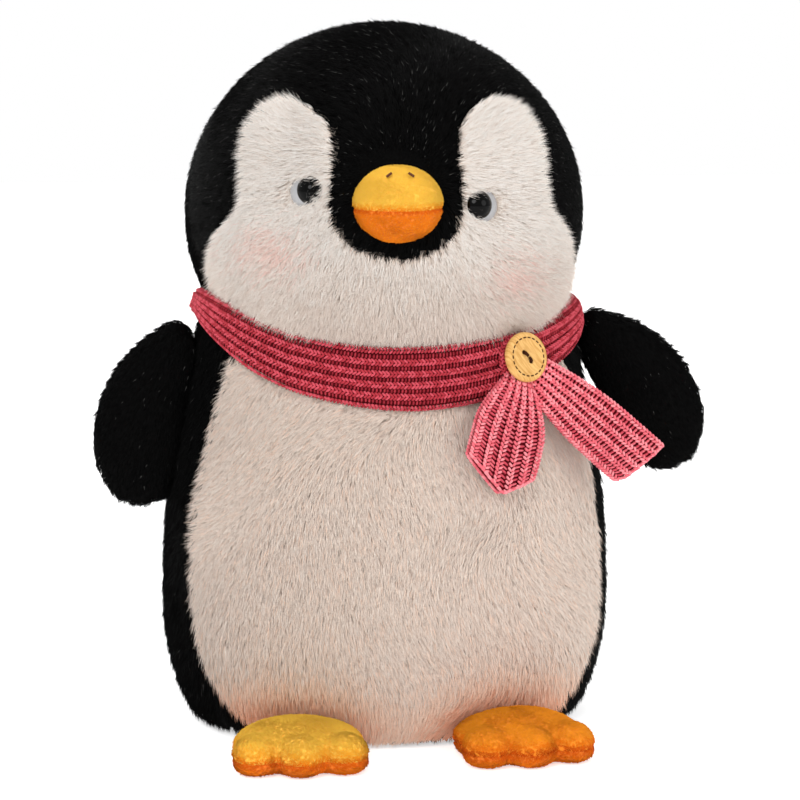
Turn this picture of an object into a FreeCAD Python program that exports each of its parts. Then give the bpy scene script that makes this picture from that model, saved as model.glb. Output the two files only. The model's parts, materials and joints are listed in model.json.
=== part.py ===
import FreeCAD, Part
import os
from math import asin, atan2, cos, degrees, radians, sin, sqrt

from FreeCAD import Placement, Rotation, Vector

# Plush penguin, standing, 350 mm tall with its pile. Millimetres, +Z up, the face towards -Y.
# The origin is on the floor under the middle of the torso. Left and right are the penguin's own,
# so the left flipper is on +X. Solids are drawn at the fabric's face, and the pile stands
# about 5 mm proud of them. Soft parts that touch in the toy are drawn with a small gap.

doc = FreeCAD.newDocument("PlushPenguin")
sheet = doc.addObject("Spreadsheet::Sheet", "Dimensions")

DIMENSIONS = {
    # fabric and gaps
    "skin": 3.0,
    "short_skin": 2.0,
    "seam_gap": 0.4,
    # head: an ellipsoid that turns in a round socket in the torso's top
    "head_rx": 96.5,
    "head_ry": 90.0,
    "head_rz": 91.5,
    "head_height": 253.5,
    "head_turned": -5.0,
    "socket_radius": 98.0,
    "hood_gusset_half": 29.0,
    "head_disc_drop": 70.0,
    # face panel, seen from the front
    "face_inner": 30.0,
    "face_outer": 68.0,
    "face_lobe_top": 54.0,
    "face_cheek": 83.0,
    "face_chin": 80.0,
    "face_blaze_bottom": 14.0,
    # beak
    "beak_rx": 22.0,
    "beak_ry": 23.0,
    "beak_rz": 19.0,
    "beak_forward": 88.0,
    "beak_height": 263.7,
    "beak_seam_height": 261.5,
    "nostril_half_gap": 5.0,
    "nostril_height": 277.6,
    "nostril_length": 3.0,
    "nostril_radius": 0.6,
    # eyes
    "right_eye_x": -42.5,
    "right_eye_height": 269.0,
    "left_eye_x": 40.5,
    "left_eye_height": 262.0,
    "eye_radius": 7.7,
    "eye_dome": 4.6,
    "pupil_radius": 6.0,
    "pupil_dome": 3.4,
    "pupil_shift": 1.2,
    "shank_radius": 1.7,
    "shank_length": 13.0,
    "washer_radius": 7.0,
    "washer_thickness": 1.5,
    "washer_depth": 5.2,
    # torso: half widths and half depths of its cross-sections, from the floor up
    "torso_centre_y": -4.0,
    "belly_seam_half": 98.0,
    "base_z": 0.0,
    "base_w": 84.0,
    "base_d": 62.0,
    "hem_z": 6.0,
    "hem_w": 94.0,
    "hem_d": 71.0,
    "low_z": 20.0,
    "low_w": 102.0,
    "low_d": 79.0,
    "hip_z": 45.0,
    "hip_w": 108.0,
    "hip_d": 85.0,
    "belly_z": 75.0,
    "belly_w": 109.0,
    "belly_d": 86.5,
    "waist_z": 112.0,
    "waist_w": 107.0,
    "waist_d": 85.0,
    "chest_z": 150.0,
    "chest_w": 101.0,
    "chest_d": 82.0,
    "shoulder_z": 185.0,
    "shoulder_w": 94.0,
    "shoulder_d": 79.0,
    "collar_z": 216.0,
    "collar_w": 86.0,
    "collar_d": 74.0,
    # neck wad, between the torso's filling and the head
    "wad_radius": 34.0,
    "wad_depth": 26.0,
    # flipper: a leaf along an arc and then a straight, hanging from the shoulder
    "flipper_start_x": 95.0,
    "flipper_start_z": 195.0,
    "flipper_y": -8.0,
    "flipper_arc_radius": 75.0,
    "flipper_start_angle": 40.0,
    "flipper_end_angle": 88.0,
    "flipper_hinge_x": 98.5,
    "flipper_hinge_z": 197.0,
    "flipper_torso_clearance": 1.5,
    "flipper_scarf_clearance": 9.5,
    "left_flipper_raised": 18.0,
    # feet
    "left_foot_x": 48.0,
    "right_foot_x": 55.0,
    "foot_toe_out": 5.0,
    "foot_pad_y": -95.0,
    "foot_pad_rx": 32.0,
    "foot_pad_ry": 30.0,
    "foot_pad_rz": 14.0,
    "foot_middle": 8.0,
    "toe_rx": 12.5,
    "toe_ry": 14.0,
    "toe_rz": 11.5,
    "toe_spread": 20.5,
    "toe_y": -113.0,
    "middle_toe_y": -117.0,
    "foot_clearance": 8.0,
    # scarf and its button
    "scarf_inside": 0.8,
    "scarf_thickness": 5.2,
    "scarf_clearance": 0.7,
    "scarf_low_rx": 112.5,
    "scarf_low_ry": 128.0,
    "scarf_low_rz": 118.0,
    "scarf_high_ry": 108.0,
    "button_angle": 31.0,
    "button_height": 187.0,
    "button_tilt": 12.0,
    "button_radius": 11.5,
    "button_thickness": 4.0,
    "button_offset": 12.0,
    "button_hole_radius": 1.1,
    "button_hole_half_gap": 2.9,
    "button_dish_radius": 6.6,
    "button_dish_depth": 0.6,
    "button_edge": 0.9,
    "thread_radius": 0.7,
    "knot_radius": 11.0,
    "knot_thickness": 3.0,
    "knot_offset": 8.4,
    "tail_thickness": 4.0,
    "tail_start": 13.4,
    "tail_offset": 8.6,
    "right_tail_length": 50.0,
    "right_tail_top": 15.0,
    "right_tail_width": 30.0,
    "left_tail_length": 66.0,
    "left_tail_top": 15.0,
    "left_tail_width": 27.0,
}
TORSO_LEVELS = ["base", "hem", "low", "hip", "belly", "waist", "chest", "shoulder", "collar"]

# Distance along the flipper, width and thickness of each of its cross-sections.
FLIPPER_LEVELS = [
    (0.0, 20.0, 12.0),
    (12.0, 30.0, 15.0),
    (28.0, 40.0, 18.0),
    (46.0, 46.0, 19.0),
    (64.0, 46.5, 17.5),
    (78.0, 38.0, 13.5),
    (87.0, 25.0, 9.0),
    (91.0, 10.0, 4.0),
]

for row, (alias, value) in enumerate(DIMENSIONS.items(), start=1):
    sheet.set(f"A{row}", alias.replace("_", " "))
    sheet.set(f"B{row}", str(value))
    sheet.setAlias(f"B{row}", alias)
doc.recompute()


def size(alias):
    """A dimension's value, for shapes that are worked out in Python."""
    return float(sheet.get(alias))


def bind(obj, **expressions):
    """Binds properties to cells. Two underscores stand for a full stop, and d. for Dimensions."""
    for name, expression in expressions.items():
        obj.setExpression(name.replace("__", "."), expression.replace("d.", "Dimensions."))
    return obj


def ellipsoid(name, rx, ry, rz, x="0", y="0", z="0"):
    body = doc.addObject("Part::Ellipsoid", name)
    bind(body, Radius1=rz, Radius2=rx, Radius3=ry)
    return bind(body, Placement__Base__x=x, Placement__Base__y=y, Placement__Base__z=z)


def box(name, low, high):
    """A block between two corners, used to split a shell at a seam."""
    block = doc.addObject("Part::Box", name)
    block.Length, block.Width, block.Height = (high[i] - low[i] for i in range(3))
    block.Placement.Base = Vector(*low)
    return block


def cylinder(name, radius, length, place):
    """A cylinder along place's Z axis, standing on place's origin."""
    rod = doc.addObject("Part::Cylinder", name)
    bind(rod, Radius=radius, Height=length)
    rod.Placement = place
    return rod


def cut(name, base, *tools):
    """base less each of tools in turn."""
    for number, tool in enumerate(tools):
        step = doc.addObject("Part::Cut", name if number == len(tools) - 1 else f"{name}_step")
        step.Base, step.Tool = base, tool
        base = step
    return base


def common(name, *shapes):
    result = doc.addObject("Part::MultiCommon", name)
    result.Shapes = list(shapes)
    return result


def fuse(name, *shapes):
    result = doc.addObject("Part::MultiFuse", name)
    result.Shapes = list(shapes)
    return result


def copy_of(name, source):
    """A link-free repeat of a shape that stays bound to it."""
    again = doc.addObject("Part::Compound", name)
    again.Links = [source]
    return again


# --- sub-parts, kept by node name -------------------------------------------------------------

parts = {}


def node(name, obj):
    obj.Label = name
    parts[name] = obj
    return obj


def turned_with_head(name, obj):
    """A head piece: drawn looking along -Y, then turned with the head about the Z axis."""
    obj.Placement = Placement(Vector(), Rotation(Vector(0, 0, 1), size("head_turned")))
    return node(name, obj)


# --- torso -------------------------------------------------------------------------------------


def torso_loft(name, grow):
    """The torso's outline grown by so many millimetres, closed and flat at its foot."""
    rings = []
    for level in TORSO_LEVELS:
        ring = doc.addObject("Part::Ellipse", f"{name}_{level}")
        bind(ring, MajorRadius=f"d.{level}_w + {grow}", MinorRadius=f"d.{level}_d + {grow}")
        lift = f"max(0; -({grow}))" if level == "base" else f"d.{level}_z"
        bind(ring, Placement__Base__y="d.torso_centre_y", Placement__Base__z=lift)
        rings.append(ring)
    loft = doc.addObject("Part::Loft", name)
    loft.Sections = rings
    loft.Solid = True
    return loft


def socket(name, radius):
    ball = doc.addObject("Part::Sphere", name)
    return bind(ball, Radius=radius, Placement__Base__z="d.head_height")


def belly_outline(inset):
    """The belly panel's outline from the front: a tall oval, cut off straight at the hem."""
    half = size("belly_seam_half") - inset
    top, foot = 232.0, size("hem_z") + inset
    side = [(0.60, foot), (0.93, 34), (1.0, 78), (0.95, 130), (0.82, 180), (0.62, top)]
    edges = []
    for sign in (-1, 1):
        curve = Part.BSplineCurve()
        curve.interpolate([Vector(sign * part * half, -200, z) for part, z in side])
        edges.append(curve.toShape())
    for part, z in (side[0], side[-1]):
        ends = [Vector(sign * part * half, -200, z) for sign in (-1, 1)]
        edges.append(Part.makeLine(*ends))
    return Part.Wire(Part.__sortEdges__(edges))


def prism(name, wire, depth):
    """A seam cutter: the outline pushed back from y = -200 by depth."""
    tool = doc.addObject("Part::Feature", name)
    tool.Shape = Part.Face(wire).extrude(Vector(0, depth, 0))
    return tool


def build_torso():
    outer = torso_loft("TorsoOutside", "0")
    inner = torso_loft("TorsoInside", "-d.skin")
    core = torso_loft("TorsoCore", "-(d.skin + d.seam_gap)")
    hollow = socket("Socket", "d.socket_radius")
    hem = size("skin") + size("seam_gap")
    wide = 300.0
    above_hem = box("AboveHem", (-wide, -wide, hem), (wide, wide, wide))
    below_hem = box("BelowHem", (-wide, -wide, -1), (wide, wide, size("skin")))
    node("base_panel", common("BasePanel", outer, below_hem))
    shell = cut("TorsoShell", outer, inner, hollow)
    skirt = common("TorsoSkirt", shell, above_hem)
    front = prism("BellyCutter", belly_outline(0.0), 196.0)
    wider = prism("BellyCutterWide", belly_outline(-size("seam_gap")), 196.4)
    node("belly_panel", common("BellyPanel", skirt, front))
    back = cut("TorsoBack", skirt, wider)
    half_gap = size("seam_gap") / 2
    left = box("LeftSide", (half_gap, -wide, -1), (wide, wide, wide))
    right = box("RightSide", (-wide, -wide, -1), (-half_gap, wide, wide))
    node("left_back_panel", common("LeftBackPanel", back, left))
    node("right_back_panel", common("RightBackPanel", back, right))
    pocket_radius = "d.wad_radius + d.seam_gap"
    low = size("head_height") - size("socket_radius") - size("wad_depth") - size("seam_gap")
    pocket = cylinder("WadPocket", pocket_radius, "200", Placement(Vector(0, 0, low), Rotation()))
    filling_hollow = socket("FillingHollow", "d.socket_radius + d.seam_gap")
    node("torso_filling", cut("TorsoFilling", core, filling_hollow, pocket))
    place = Placement(Vector(0, 0, low + size("seam_gap")), Rotation())
    wad = cylinder("WadRod", "d.wad_radius", "60", place)
    wad_hollow = socket("WadHollow", "d.socket_radius - d.seam_gap")
    node("neck_wad", cut("NeckWad", wad, wad_hollow))


# --- head --------------------------------------------------------------------------------------


def head_shape(name, grow):
    radii = (f"d.head_rx + {grow}", f"d.head_ry + {grow}", f"d.head_rz + {grow}")
    return ellipsoid(name, *radii, z="d.head_height")


def head_point(x, z):
    """The point of the head's front face at x and z, and the outward normal there."""
    rx, ry, rz = size("head_rx"), size("head_ry"), size("head_rz")
    up = z - size("head_height")
    y = -ry * sqrt(1 - (x / rx) ** 2 - (up / rz) ** 2)
    normal = Vector(x / rx**2, y / ry**2, up / rz**2)
    return Vector(x, y, z), normal.normalize()


def face_outline(inset):
    """The face panel from the front: two lobes over the eyes, round cheeks, a notch for the blaze."""
    middle = size("head_height")
    inner, outer = size("face_inner") + inset, size("face_outer") - inset
    top, cheek = size("face_lobe_top") - inset, size("face_cheek") - inset
    chin, blaze = size("face_chin") - inset, size("face_blaze_bottom") + inset
    lobe = 0.5 * (inner + outer)
    half = [
        (0, -blaze),
        (0.6 * inner, -0.72 * blaze),
        (0.95 * inner, 0),
        (inner, 0.3 * top),
        (0.96 * inner, 0.6 * top),
        (inner + 1.5, 0.85 * top),
        (lobe - 11, 0.97 * top),
        (lobe - 2, 1.01 * top),
        (lobe + 8, 0.96 * top),
        (outer - 3.5, 0.8 * top),
        (outer - 0.5, 0.55 * top),
        (outer, 0.3 * top),
        (outer + 3, 0.1 * top),
        (0.95 * cheek, -4),
        (cheek, -17),
        (cheek, -32),
        (0.92 * cheek, -0.6 * chin),
        (0.73 * cheek, -0.84 * chin),
        (0.4 * cheek, -0.97 * chin),
        (0, -chin),
    ]
    points = [Vector(x, -200, middle + z) for x, z in half]
    points += [Vector(-p.x, p.y, p.z) for p in points[-2:0:-1]]
    curve = Part.BSplineCurve()
    curve.interpolate(Points=points, PeriodicFlag=True)
    return Part.Wire([curve.toShape()])


def eye_place(side):
    """The eye's place on the face, its Z axis along the head's outward normal."""
    point, normal = head_point(size(f"{side}_eye_x"), size(f"{side}_eye_height"))
    return Placement(point, Rotation(Vector(0, 0, 1), normal))


def build_head():
    outer = head_shape("HeadOutside", "0")
    inner = head_shape("HeadInside", "-d.skin")
    shell = cut("HeadShell", outer, inner)
    wide = 300.0
    disc_z = size("head_height") - size("head_disc_drop")
    gap = size("seam_gap")
    under = box("UnderHead", (-wide, -wide, -1), (wide, wide, disc_z - gap))
    over = box("OverDisc", (-wide, -wide, disc_z), (wide, wide, 400))
    turned_with_head("head_base_disc", common("HeadBaseDisc", shell, under))
    cap = common("HeadCap", shell, over)
    front = prism("FaceCutter", face_outline(0.0), 195.0)
    wider = prism("FaceCutterWide", face_outline(-gap), 195.4)
    holes = [eye_hole(side, "face", "d.shank_radius + 0.5", 30.0) for side in ("left", "right")]
    turned_with_head("face_panel", cut("FacePanel", common("FaceBlank", cap, front), *holes))
    hood = cut("Hood", cap, wider)
    half = size("hood_gusset_half")
    bands = {
        "hood_gusset": (-half, half),
        "hood_left_panel": (half + gap, wide),
        "hood_right_panel": (-wide, -half - gap),
    }
    for name, (low, high) in bands.items():
        band = box(f"Band_{name}", (low, -wide, 0), (high, wide, 400))
        turned_with_head(name, common(f"Cut_{name}", hood, band))
    ball = head_shape("HeadBall", "-(d.skin + d.seam_gap)")
    above = box("AboveNeck", (-wide, -wide, disc_z - 12), (wide, wide, 400))
    core = common("HeadCore", ball, above)
    pockets = []
    for side in ("left", "right"):
        pockets.append(eye_hole(side, "shank_pocket", "d.shank_radius + 0.5", 15.0))
        pockets.append(eye_hole(side, "washer_pocket", "d.washer_radius + 0.5", 6.0))
    turned_with_head("head_filling", cut("HeadFilling", core, *pockets))


def eye_hole(side, name, radius, depth):
    """A round hole through the head's face at an eye, reaching depth below the fabric's face."""
    place = eye_place(side)
    inwards = place.Rotation.multVec(Vector(0, 0, -1))
    start = Placement(place.Base + inwards * depth, place.Rotation)
    return cylinder(f"{side}_{name}", radius, f"{depth + 10}", start)


def build_eye(side):
    place = eye_place(side)

    def at(height, sideways=0.0):
        offset = place.Rotation.multVec(Vector(sideways, 0, height))
        return Placement(place.Base + offset, place.Rotation)

    toward_beak = -size("pupil_shift") if side == "left" else size("pupil_shift")
    lift = size("seam_gap")
    white = eye_body(f"{side}_EyeWhite", "d.eye_radius", "d.eye_dome", shank=True)
    white.Placement = at(lift)
    pupil = eye_body(f"{side}_EyePupil", "d.pupil_radius", "d.pupil_dome", shank=False)
    pupil.Placement = at(lift + size("eye_dome") - 0.9, toward_beak)
    seat = copy_of(f"{side}_PupilSeat", pupil)
    turned_with_head(f"{side}_eye_white", cut(f"{side}_EyeWhiteSeated", white, seat))
    turned_with_head(f"{side}_eye_pupil", copy_of(f"{side}_EyePupilPart", pupil))
    washer = washer_body(f"{side}_EyeWasher")
    washer.Placement = at(-size("washer_depth"))
    turned_with_head(f"{side}_eye_washer", copy_of(f"{side}_EyeWasherPart", washer))


def sketch_on(body, role, name):
    """A new sketch on one of the body's own origin planes."""
    plane = next(f for f in body.Origin.OriginFeatures if f.Role == role)
    sketch = body.newObject("Sketcher::SketchObject", name)
    sketch.AttachmentSupport = (plane, [""])
    sketch.MapMode = "FlatFace"
    return sketch


def axis_of(body, role):
    return (next(f for f in body.Origin.OriginFeatures if f.Role == role), [""])


def eye_body(name, radius, dome, shank):
    """A domed disc turned about Z, its flat back at z = 0, with the shank behind it if asked."""
    import Sketcher

    body = doc.addObject("PartDesign::Body", name)
    sketch = sketch_on(body, "XZ_Plane", f"{name}_Profile")
    r = size(radius[2:])
    h = size(dome[2:])
    # The dome is part of a circle through the rim and the top.
    ball = (r * r + h * h) / (2 * h)
    circle = Part.Circle(Vector(0, h - ball, 0), Vector(0, 0, 1), ball)
    rim_angle = atan2(ball - h, r)
    tail = size("shank_length") if shank else 0.0
    foot = size("shank_radius") if shank else 0.0
    rim = Vector(r, 0, 0)
    top = Vector(0, h, 0)
    sketch.addGeometry(Part.ArcOfCircle(circle, rim_angle, radians(90)))
    corners = [top, Vector(0, -tail, 0)]
    if shank:
        corners += [Vector(foot, -tail, 0), Vector(foot, 0, 0)]
    corners.append(rim)
    for start, end in zip(corners, corners[1:]):
        sketch.addGeometry(Part.LineSegment(start, end))
    last = len(corners) - 1
    sketch.addConstraint(Sketcher.Constraint("Radius", 0, ball))
    sketch.setExpression(
        "Constraints[0]",
        f"({radius}^2 + {dome}^2) / (2 * {dome})".replace("d.", "Dimensions."),
    )
    for number in range(1, last):
        sketch.addConstraint(Sketcher.Constraint("Coincident", number, 2, number + 1, 1))
    turn = body.newObject("PartDesign::Revolution", f"{name}_Turn")
    turn.Profile = sketch
    turn.ReferenceAxis = axis_of(body, "Z_Axis")
    turn.Angle = 360.0
    return body


def washer_body(name):
    """The locking washer: a flat ring pushed on the shank from inside."""
    body = doc.addObject("PartDesign::Body", name)
    sketch = sketch_on(body, "XY_Plane", f"{name}_Ring")
    bound_circle(sketch, 0, 0, "d.washer_radius")
    bound_circle(sketch, 0, 0, "d.shank_radius + 0.05")
    pad = body.newObject("PartDesign::Pad", f"{name}_Pad")
    pad.Profile = sketch
    return_pad(pad, "d.washer_thickness")
    return body


def return_pad(pad, length):
    pad.setExpression("Length", length.replace("d.", "Dimensions."))


def bound_circle(sketch, x, y, radius):
    """A circle at x and y whose radius is bound to the sheet."""
    import Sketcher

    number = sketch.addGeometry(Part.Circle(Vector(x, y, 0), Vector(0, 0, 1), 1.0))
    rule = sketch.addConstraint(Sketcher.Constraint("Radius", number, 1.0))
    sketch.setExpression(f"Constraints[{rule}]", radius.replace("d.", "Dimensions."))
    return number


# --- beak --------------------------------------------------------------------------------------


def beak_shape(name, grow):
    radii = (f"d.beak_rx + {grow}", f"d.beak_ry + {grow}", f"d.beak_rz + {grow}")
    return ellipsoid(name, *radii, y="-d.beak_forward", z="d.beak_height")


def build_beak():
    outer = beak_shape("BeakOutside", "0")
    inner = beak_shape("BeakInside", "-d.short_skin")
    core = beak_shape("BeakCore", "-(d.short_skin + d.seam_gap)")
    seat = head_shape("BeakSeat", "d.seam_gap")
    shell = cut("BeakShell", outer, inner, seat)
    seam, gap = size("beak_seam_height"), size("seam_gap") / 2
    above = box("AboveMouth", (-60, -160, seam + gap), (60, 0, 340))
    below = box("BelowMouth", (-60, -160, 200), (60, 0, seam - gap))
    turned_with_head("beak_upper", common("BeakUpper", shell, above))
    turned_with_head("beak_lower", common("BeakLower", shell, below))
    turned_with_head("beak_filling", cut("BeakFilling", core, seat))
    turned_with_head("nostril_stitches", fuse("Nostrils", *[nostril(s) for s in (-1, 1)]))


def nostril(side):
    """One stitch lying on the upper beak, slanting outwards as it goes down."""
    rx, ry, rz = size("beak_rx"), size("beak_ry"), size("beak_rz")
    x, up = side * size("nostril_half_gap"), size("nostril_height") - size("beak_height")
    y = -ry * sqrt(1 - (x / rx) ** 2 - (up / rz) ** 2)
    normal = Vector(x / rx**2, y / ry**2, up / rz**2).normalize()
    across = Vector(0, 0, 1).cross(normal).normalize()
    down = across.cross(normal).normalize()
    along = (down + across * side * 0.7).normalize()
    lift = normal * (size("nostril_radius") + 0.15)
    middle = Vector(x, y - size("beak_forward"), size("nostril_height")) + lift
    start = middle - along * (size("nostril_length") / 2)
    place = Placement(start, Rotation(Vector(0, 0, 1), along))
    return cylinder(f"Nostril{side + 2}", "d.nostril_radius", "d.nostril_length", place)


# --- flippers ----------------------------------------------------------------------------------


def flipper_loft(name, grow):
    """The right flipper: ellipses along an arc that turns downwards, then along a straight."""
    rings = []
    radius, start = size("flipper_arc_radius"), size("flipper_start_angle")
    end = radians(size("flipper_end_angle"))
    bend = radius * (end - radians(start))
    last = FLIPPER_LEVELS[-1][0]
    for number, (along, width, thickness) in enumerate(FLIPPER_LEVELS):
        # Both ends of a smaller copy stop short, so that the copy lies inside.
        along = min(max(along, -grow), last + grow)
        angle = radians(start) + min(along, bend) / radius
        x = -size("flipper_start_x") - radius * (sin(angle) - sin(radians(start)))
        z = size("flipper_start_z") - radius * (cos(radians(start)) - cos(angle))
        straight = max(0.0, along - bend)
        x -= straight * cos(end)
        z -= straight * sin(end)
        ring = doc.addObject("Part::Ellipse", f"{name}_{number}")
        ring.MajorRadius = width / 2 + grow
        ring.MinorRadius = thickness / 2 + grow
        turn = Rotation(Vector(0, 1, 0), 180 + 90 - degrees(angle))
        ring.Placement = Placement(Vector(x, size("flipper_y"), z), turn)
        rings.append(ring)
    loft = doc.addObject("Part::Loft", name)
    loft.Sections = rings
    loft.Solid = True
    return loft


def build_flippers():
    skin, gap = size("short_skin") * 0.8, size("seam_gap")
    outer = flipper_loft("FlipperOutside", 0.0)
    inner = flipper_loft("FlipperInside", -skin)
    core = flipper_loft("FlipperCore", -skin - gap / 2)
    shell = cut("FlipperShell", outer, inner)
    middle = size("flipper_y")
    front = box("FlipperFrontHalf", (-300, -60, 0), (0, middle - gap / 2, 300))
    back = box("FlipperBackHalf", (-300, middle + gap / 2, 0), (0, 60, 300))
    pieces = {
        "front": common("FlipperFront", shell, front),
        "back": common("FlipperBack", shell, back),
        "filling": core,
    }
    hinge = Vector(size("flipper_hinge_x"), 0, size("flipper_hinge_z"))
    raised = Rotation(Vector(0, 1, 0), -size("left_flipper_raised"))
    from_torso = torso_loft("FlipperTorsoRoom", "d.flipper_torso_clearance")
    from_scarf = torso_loft("FlipperScarfWall", "d.flipper_scarf_clearance")
    radii = ("d.scarf_low_rx + 2", "d.scarf_low_ry", "d.scarf_low_rz + 2")
    low = ellipsoid("FlipperScarfLow", *radii, z="d.head_height")
    scarf_room = common("FlipperScarfRoom", from_scarf, low)
    for name, piece in pieces.items():
        piece = cut(f"FlipperTrimmed_{name}", piece, from_torso, scarf_room)
        node(f"right_flipper_{name}", piece)
        mirror = doc.addObject("Part::Mirroring", f"LeftFlipper_{name}")
        mirror.Source = piece
        mirror.Normal = Vector(1, 0, 0)
        left = copy_of(f"LeftFlipperRaised_{name}", mirror)
        left.Placement = Placement(Vector(), raised, hinge)
        node(f"left_flipper_{name}", left)


# --- feet --------------------------------------------------------------------------------------


def foot_shape(name, grow):
    """A round pad with three toes, drawn straight ahead at x = 0."""
    pieces = [
        ellipsoid(
            f"{name}_Pad",
            f"d.foot_pad_rx + {grow}",
            f"d.foot_pad_ry + {grow}",
            f"d.foot_pad_rz + {grow}",
            y="d.foot_pad_y",
            z="d.foot_middle",
        )
    ]
    for side in (-1, 0, 1):
        pieces.append(
            ellipsoid(
                f"{name}_Toe{side + 2}",
                f"d.toe_rx + {grow}",
                f"d.toe_ry + {grow}",
                f"d.toe_rz + {grow}",
                x=f"{side} * d.toe_spread",
                y="d.toe_y" if side else "d.middle_toe_y",
                z="d.foot_middle",
            )
        )
    return fuse(name, *pieces)


def build_feet():
    outer = foot_shape("FootOutside", "0")
    inner = foot_shape("FootInside", "-d.short_skin")
    core = foot_shape("FootCore", "-(d.short_skin + d.seam_gap)")
    skin, gap = size("short_skin"), size("seam_gap")
    middle = size("foot_middle") - 1.0
    shell = cut("FootShell", outer, inner)
    upper_half = box("FootUpperHalf", (-60, -200, middle + gap / 2), (60, 0, 60))
    lower_half = box("FootLowerHalf", (-60, -200, skin), (60, 0, middle - gap / 2))
    floor_slab = box("FootFloor", (-60, -200, 0), (60, 0, skin))
    inside = box("FootFillingRoom", (-60, -200, skin + gap), (60, 0, 60))
    wall = common("SoleWall", shell, lower_half)
    plate = common("SolePlate", outer, floor_slab)
    pieces = {
        "upper": common("FootUpper", shell, upper_half),
        "sole": fuse("Sole", wall, plate),
        "filling": common("FootFilling", core, inside),
    }
    away = torso_loft("FootClearance", "d.foot_clearance")
    for side, sign in (("left", 1), ("right", -1)):
        turn = Rotation(Vector(0, 0, 1), sign * size("foot_toe_out"))
        place = Placement(Vector(sign * size(f"{side}_foot_x"), 0, 0), turn, Vector(0, -80, 0))
        for name, piece in pieces.items():
            placed = copy_of(f"{side}_Foot_{name}", piece)
            placed.Placement = place
            node(f"{side}_foot_{name}", cut(f"{side}_FootTrimmed_{name}", placed, away))


# --- scarf -------------------------------------------------------------------------------------


def button_frame():
    """The button's place on the torso's face: its Z axis points out, its Y axis up the front."""
    angle = radians(size("button_angle"))
    across = size("shoulder_w") * sin(angle)
    forward = size("torso_centre_y") - size("shoulder_d") * cos(angle)
    origin = Vector(across, forward, size("button_height"))
    heading = atan2(sin(angle) / size("shoulder_w"), cos(angle) / size("shoulder_d"))
    return Placement(origin, facing(heading, radians(size("button_tilt"))))


def facing(heading, tilt):
    """A rotation whose Z axis points heading to the left of -Y, raised by tilt."""
    out = Vector(sin(heading) * cos(tilt), -cos(heading) * cos(tilt), sin(tilt))
    right = Vector(cos(heading), sin(heading), 0)
    return Rotation(right, out.cross(right), out, "ZXY")


def moved(frame, x, y, z):
    return Placement(frame.Base + frame.Rotation.multVec(Vector(x, y, z)), frame.Rotation)


def tail_body(name, side):
    """A flat tail along -Y from y = 0, wider at its rounded free end."""
    body = doc.addObject("PartDesign::Body", name)
    sketch = sketch_on(body, "XY_Plane", f"{name}_Outline")
    top, wide = size(f"{side}_tail_top") / 2, size(f"{side}_tail_width") / 2
    length = size(f"{side}_tail_length")
    corners = [
        Vector(-top, 0, 0),
        Vector(top, 0, 0),
        Vector(wide, -0.45 * length, 0),
        Vector(wide, -length, 0),
        Vector(-wide, -length, 0),
        Vector(-wide, -0.45 * length, 0),
    ]
    for start, end in zip(corners, corners[1:] + corners[:1]):
        sketch.addGeometry(Part.LineSegment(start, end))
    pad = body.newObject("PartDesign::Pad", f"{name}_Pad")
    pad.Profile = sketch
    return_pad(pad, "d.tail_thickness")
    doc.recompute()
    fillet = body.newObject("PartDesign::Fillet", f"{name}_Corners")
    edges = []
    for number, edge in enumerate(pad.Shape.Edges, start=1):
        middle = edge.CenterOfMass
        upright = abs(edge.BoundBox.ZLength - size("tail_thickness")) < 1e-6
        if upright and middle.y < -0.9 * length:
            edges.append(f"Edge{number}")
    fillet.Base = (pad, edges)
    fillet.Radius = 4.0
    return body


def tail_frame(side):
    """Where a tail leaves the knot, its Z axis out from the torso and its -Y axis along the tail."""
    button = button_frame()
    headings = {"left": (13.0, 2.0, 47.0), "right": (24.0, 7.0, -15.0)}
    heading, tilt, swing = headings[side]
    flat = facing(radians(heading), radians(tilt))
    turn = flat.multiply(Rotation(Vector(0, 0, 1), swing))
    out = button.Rotation.multVec(Vector(0, 0, size("tail_offset")))
    start = turn.multVec(Vector(0, -size("tail_start"), 0))
    return Placement(button.Base + out + start, turn)


def button_body(name):
    """A round wooden button with a dished face, two holes and eased edges."""
    body = doc.addObject("PartDesign::Body", name)
    disc = sketch_on(body, "XY_Plane", f"{name}_Disc")
    bound_circle(disc, 0, 0, "d.button_radius")
    pad = body.newObject("PartDesign::Pad", f"{name}_Pad")
    pad.Profile = disc
    return_pad(pad, "d.button_thickness")
    doc.recompute()
    ease = body.newObject("PartDesign::Fillet", f"{name}_Edges")
    ease.Base = (pad, [f"Edge{n}" for n, e in enumerate(pad.Shape.Edges, 1) if len(e.Vertexes) == 1])
    bind(ease, Radius="d.button_edge")
    doc.recompute()
    dish = sketch_on(body, "XY_Plane", f"{name}_Dish")
    bind(dish, AttachmentOffset__Base__z="d.button_thickness - d.button_dish_depth")
    bound_circle(dish, 0, 0, "d.button_dish_radius")
    hollow = body.newObject("PartDesign::Pocket", f"{name}_Hollow")
    hollow.Profile = dish
    hollow.Reversed = True
    return_pad(hollow, "d.button_dish_depth + 1")
    holes = sketch_on(body, "XY_Plane", f"{name}_Holes")
    for side in (-1, 1):
        bound_circle(holes, side * size("button_hole_half_gap"), 0, "d.button_hole_radius")
    drill = body.newObject("PartDesign::Pocket", f"{name}_Drill")
    drill.Profile = holes
    drill.Reversed = True
    return_pad(drill, "d.button_thickness + 1")
    return body


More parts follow.
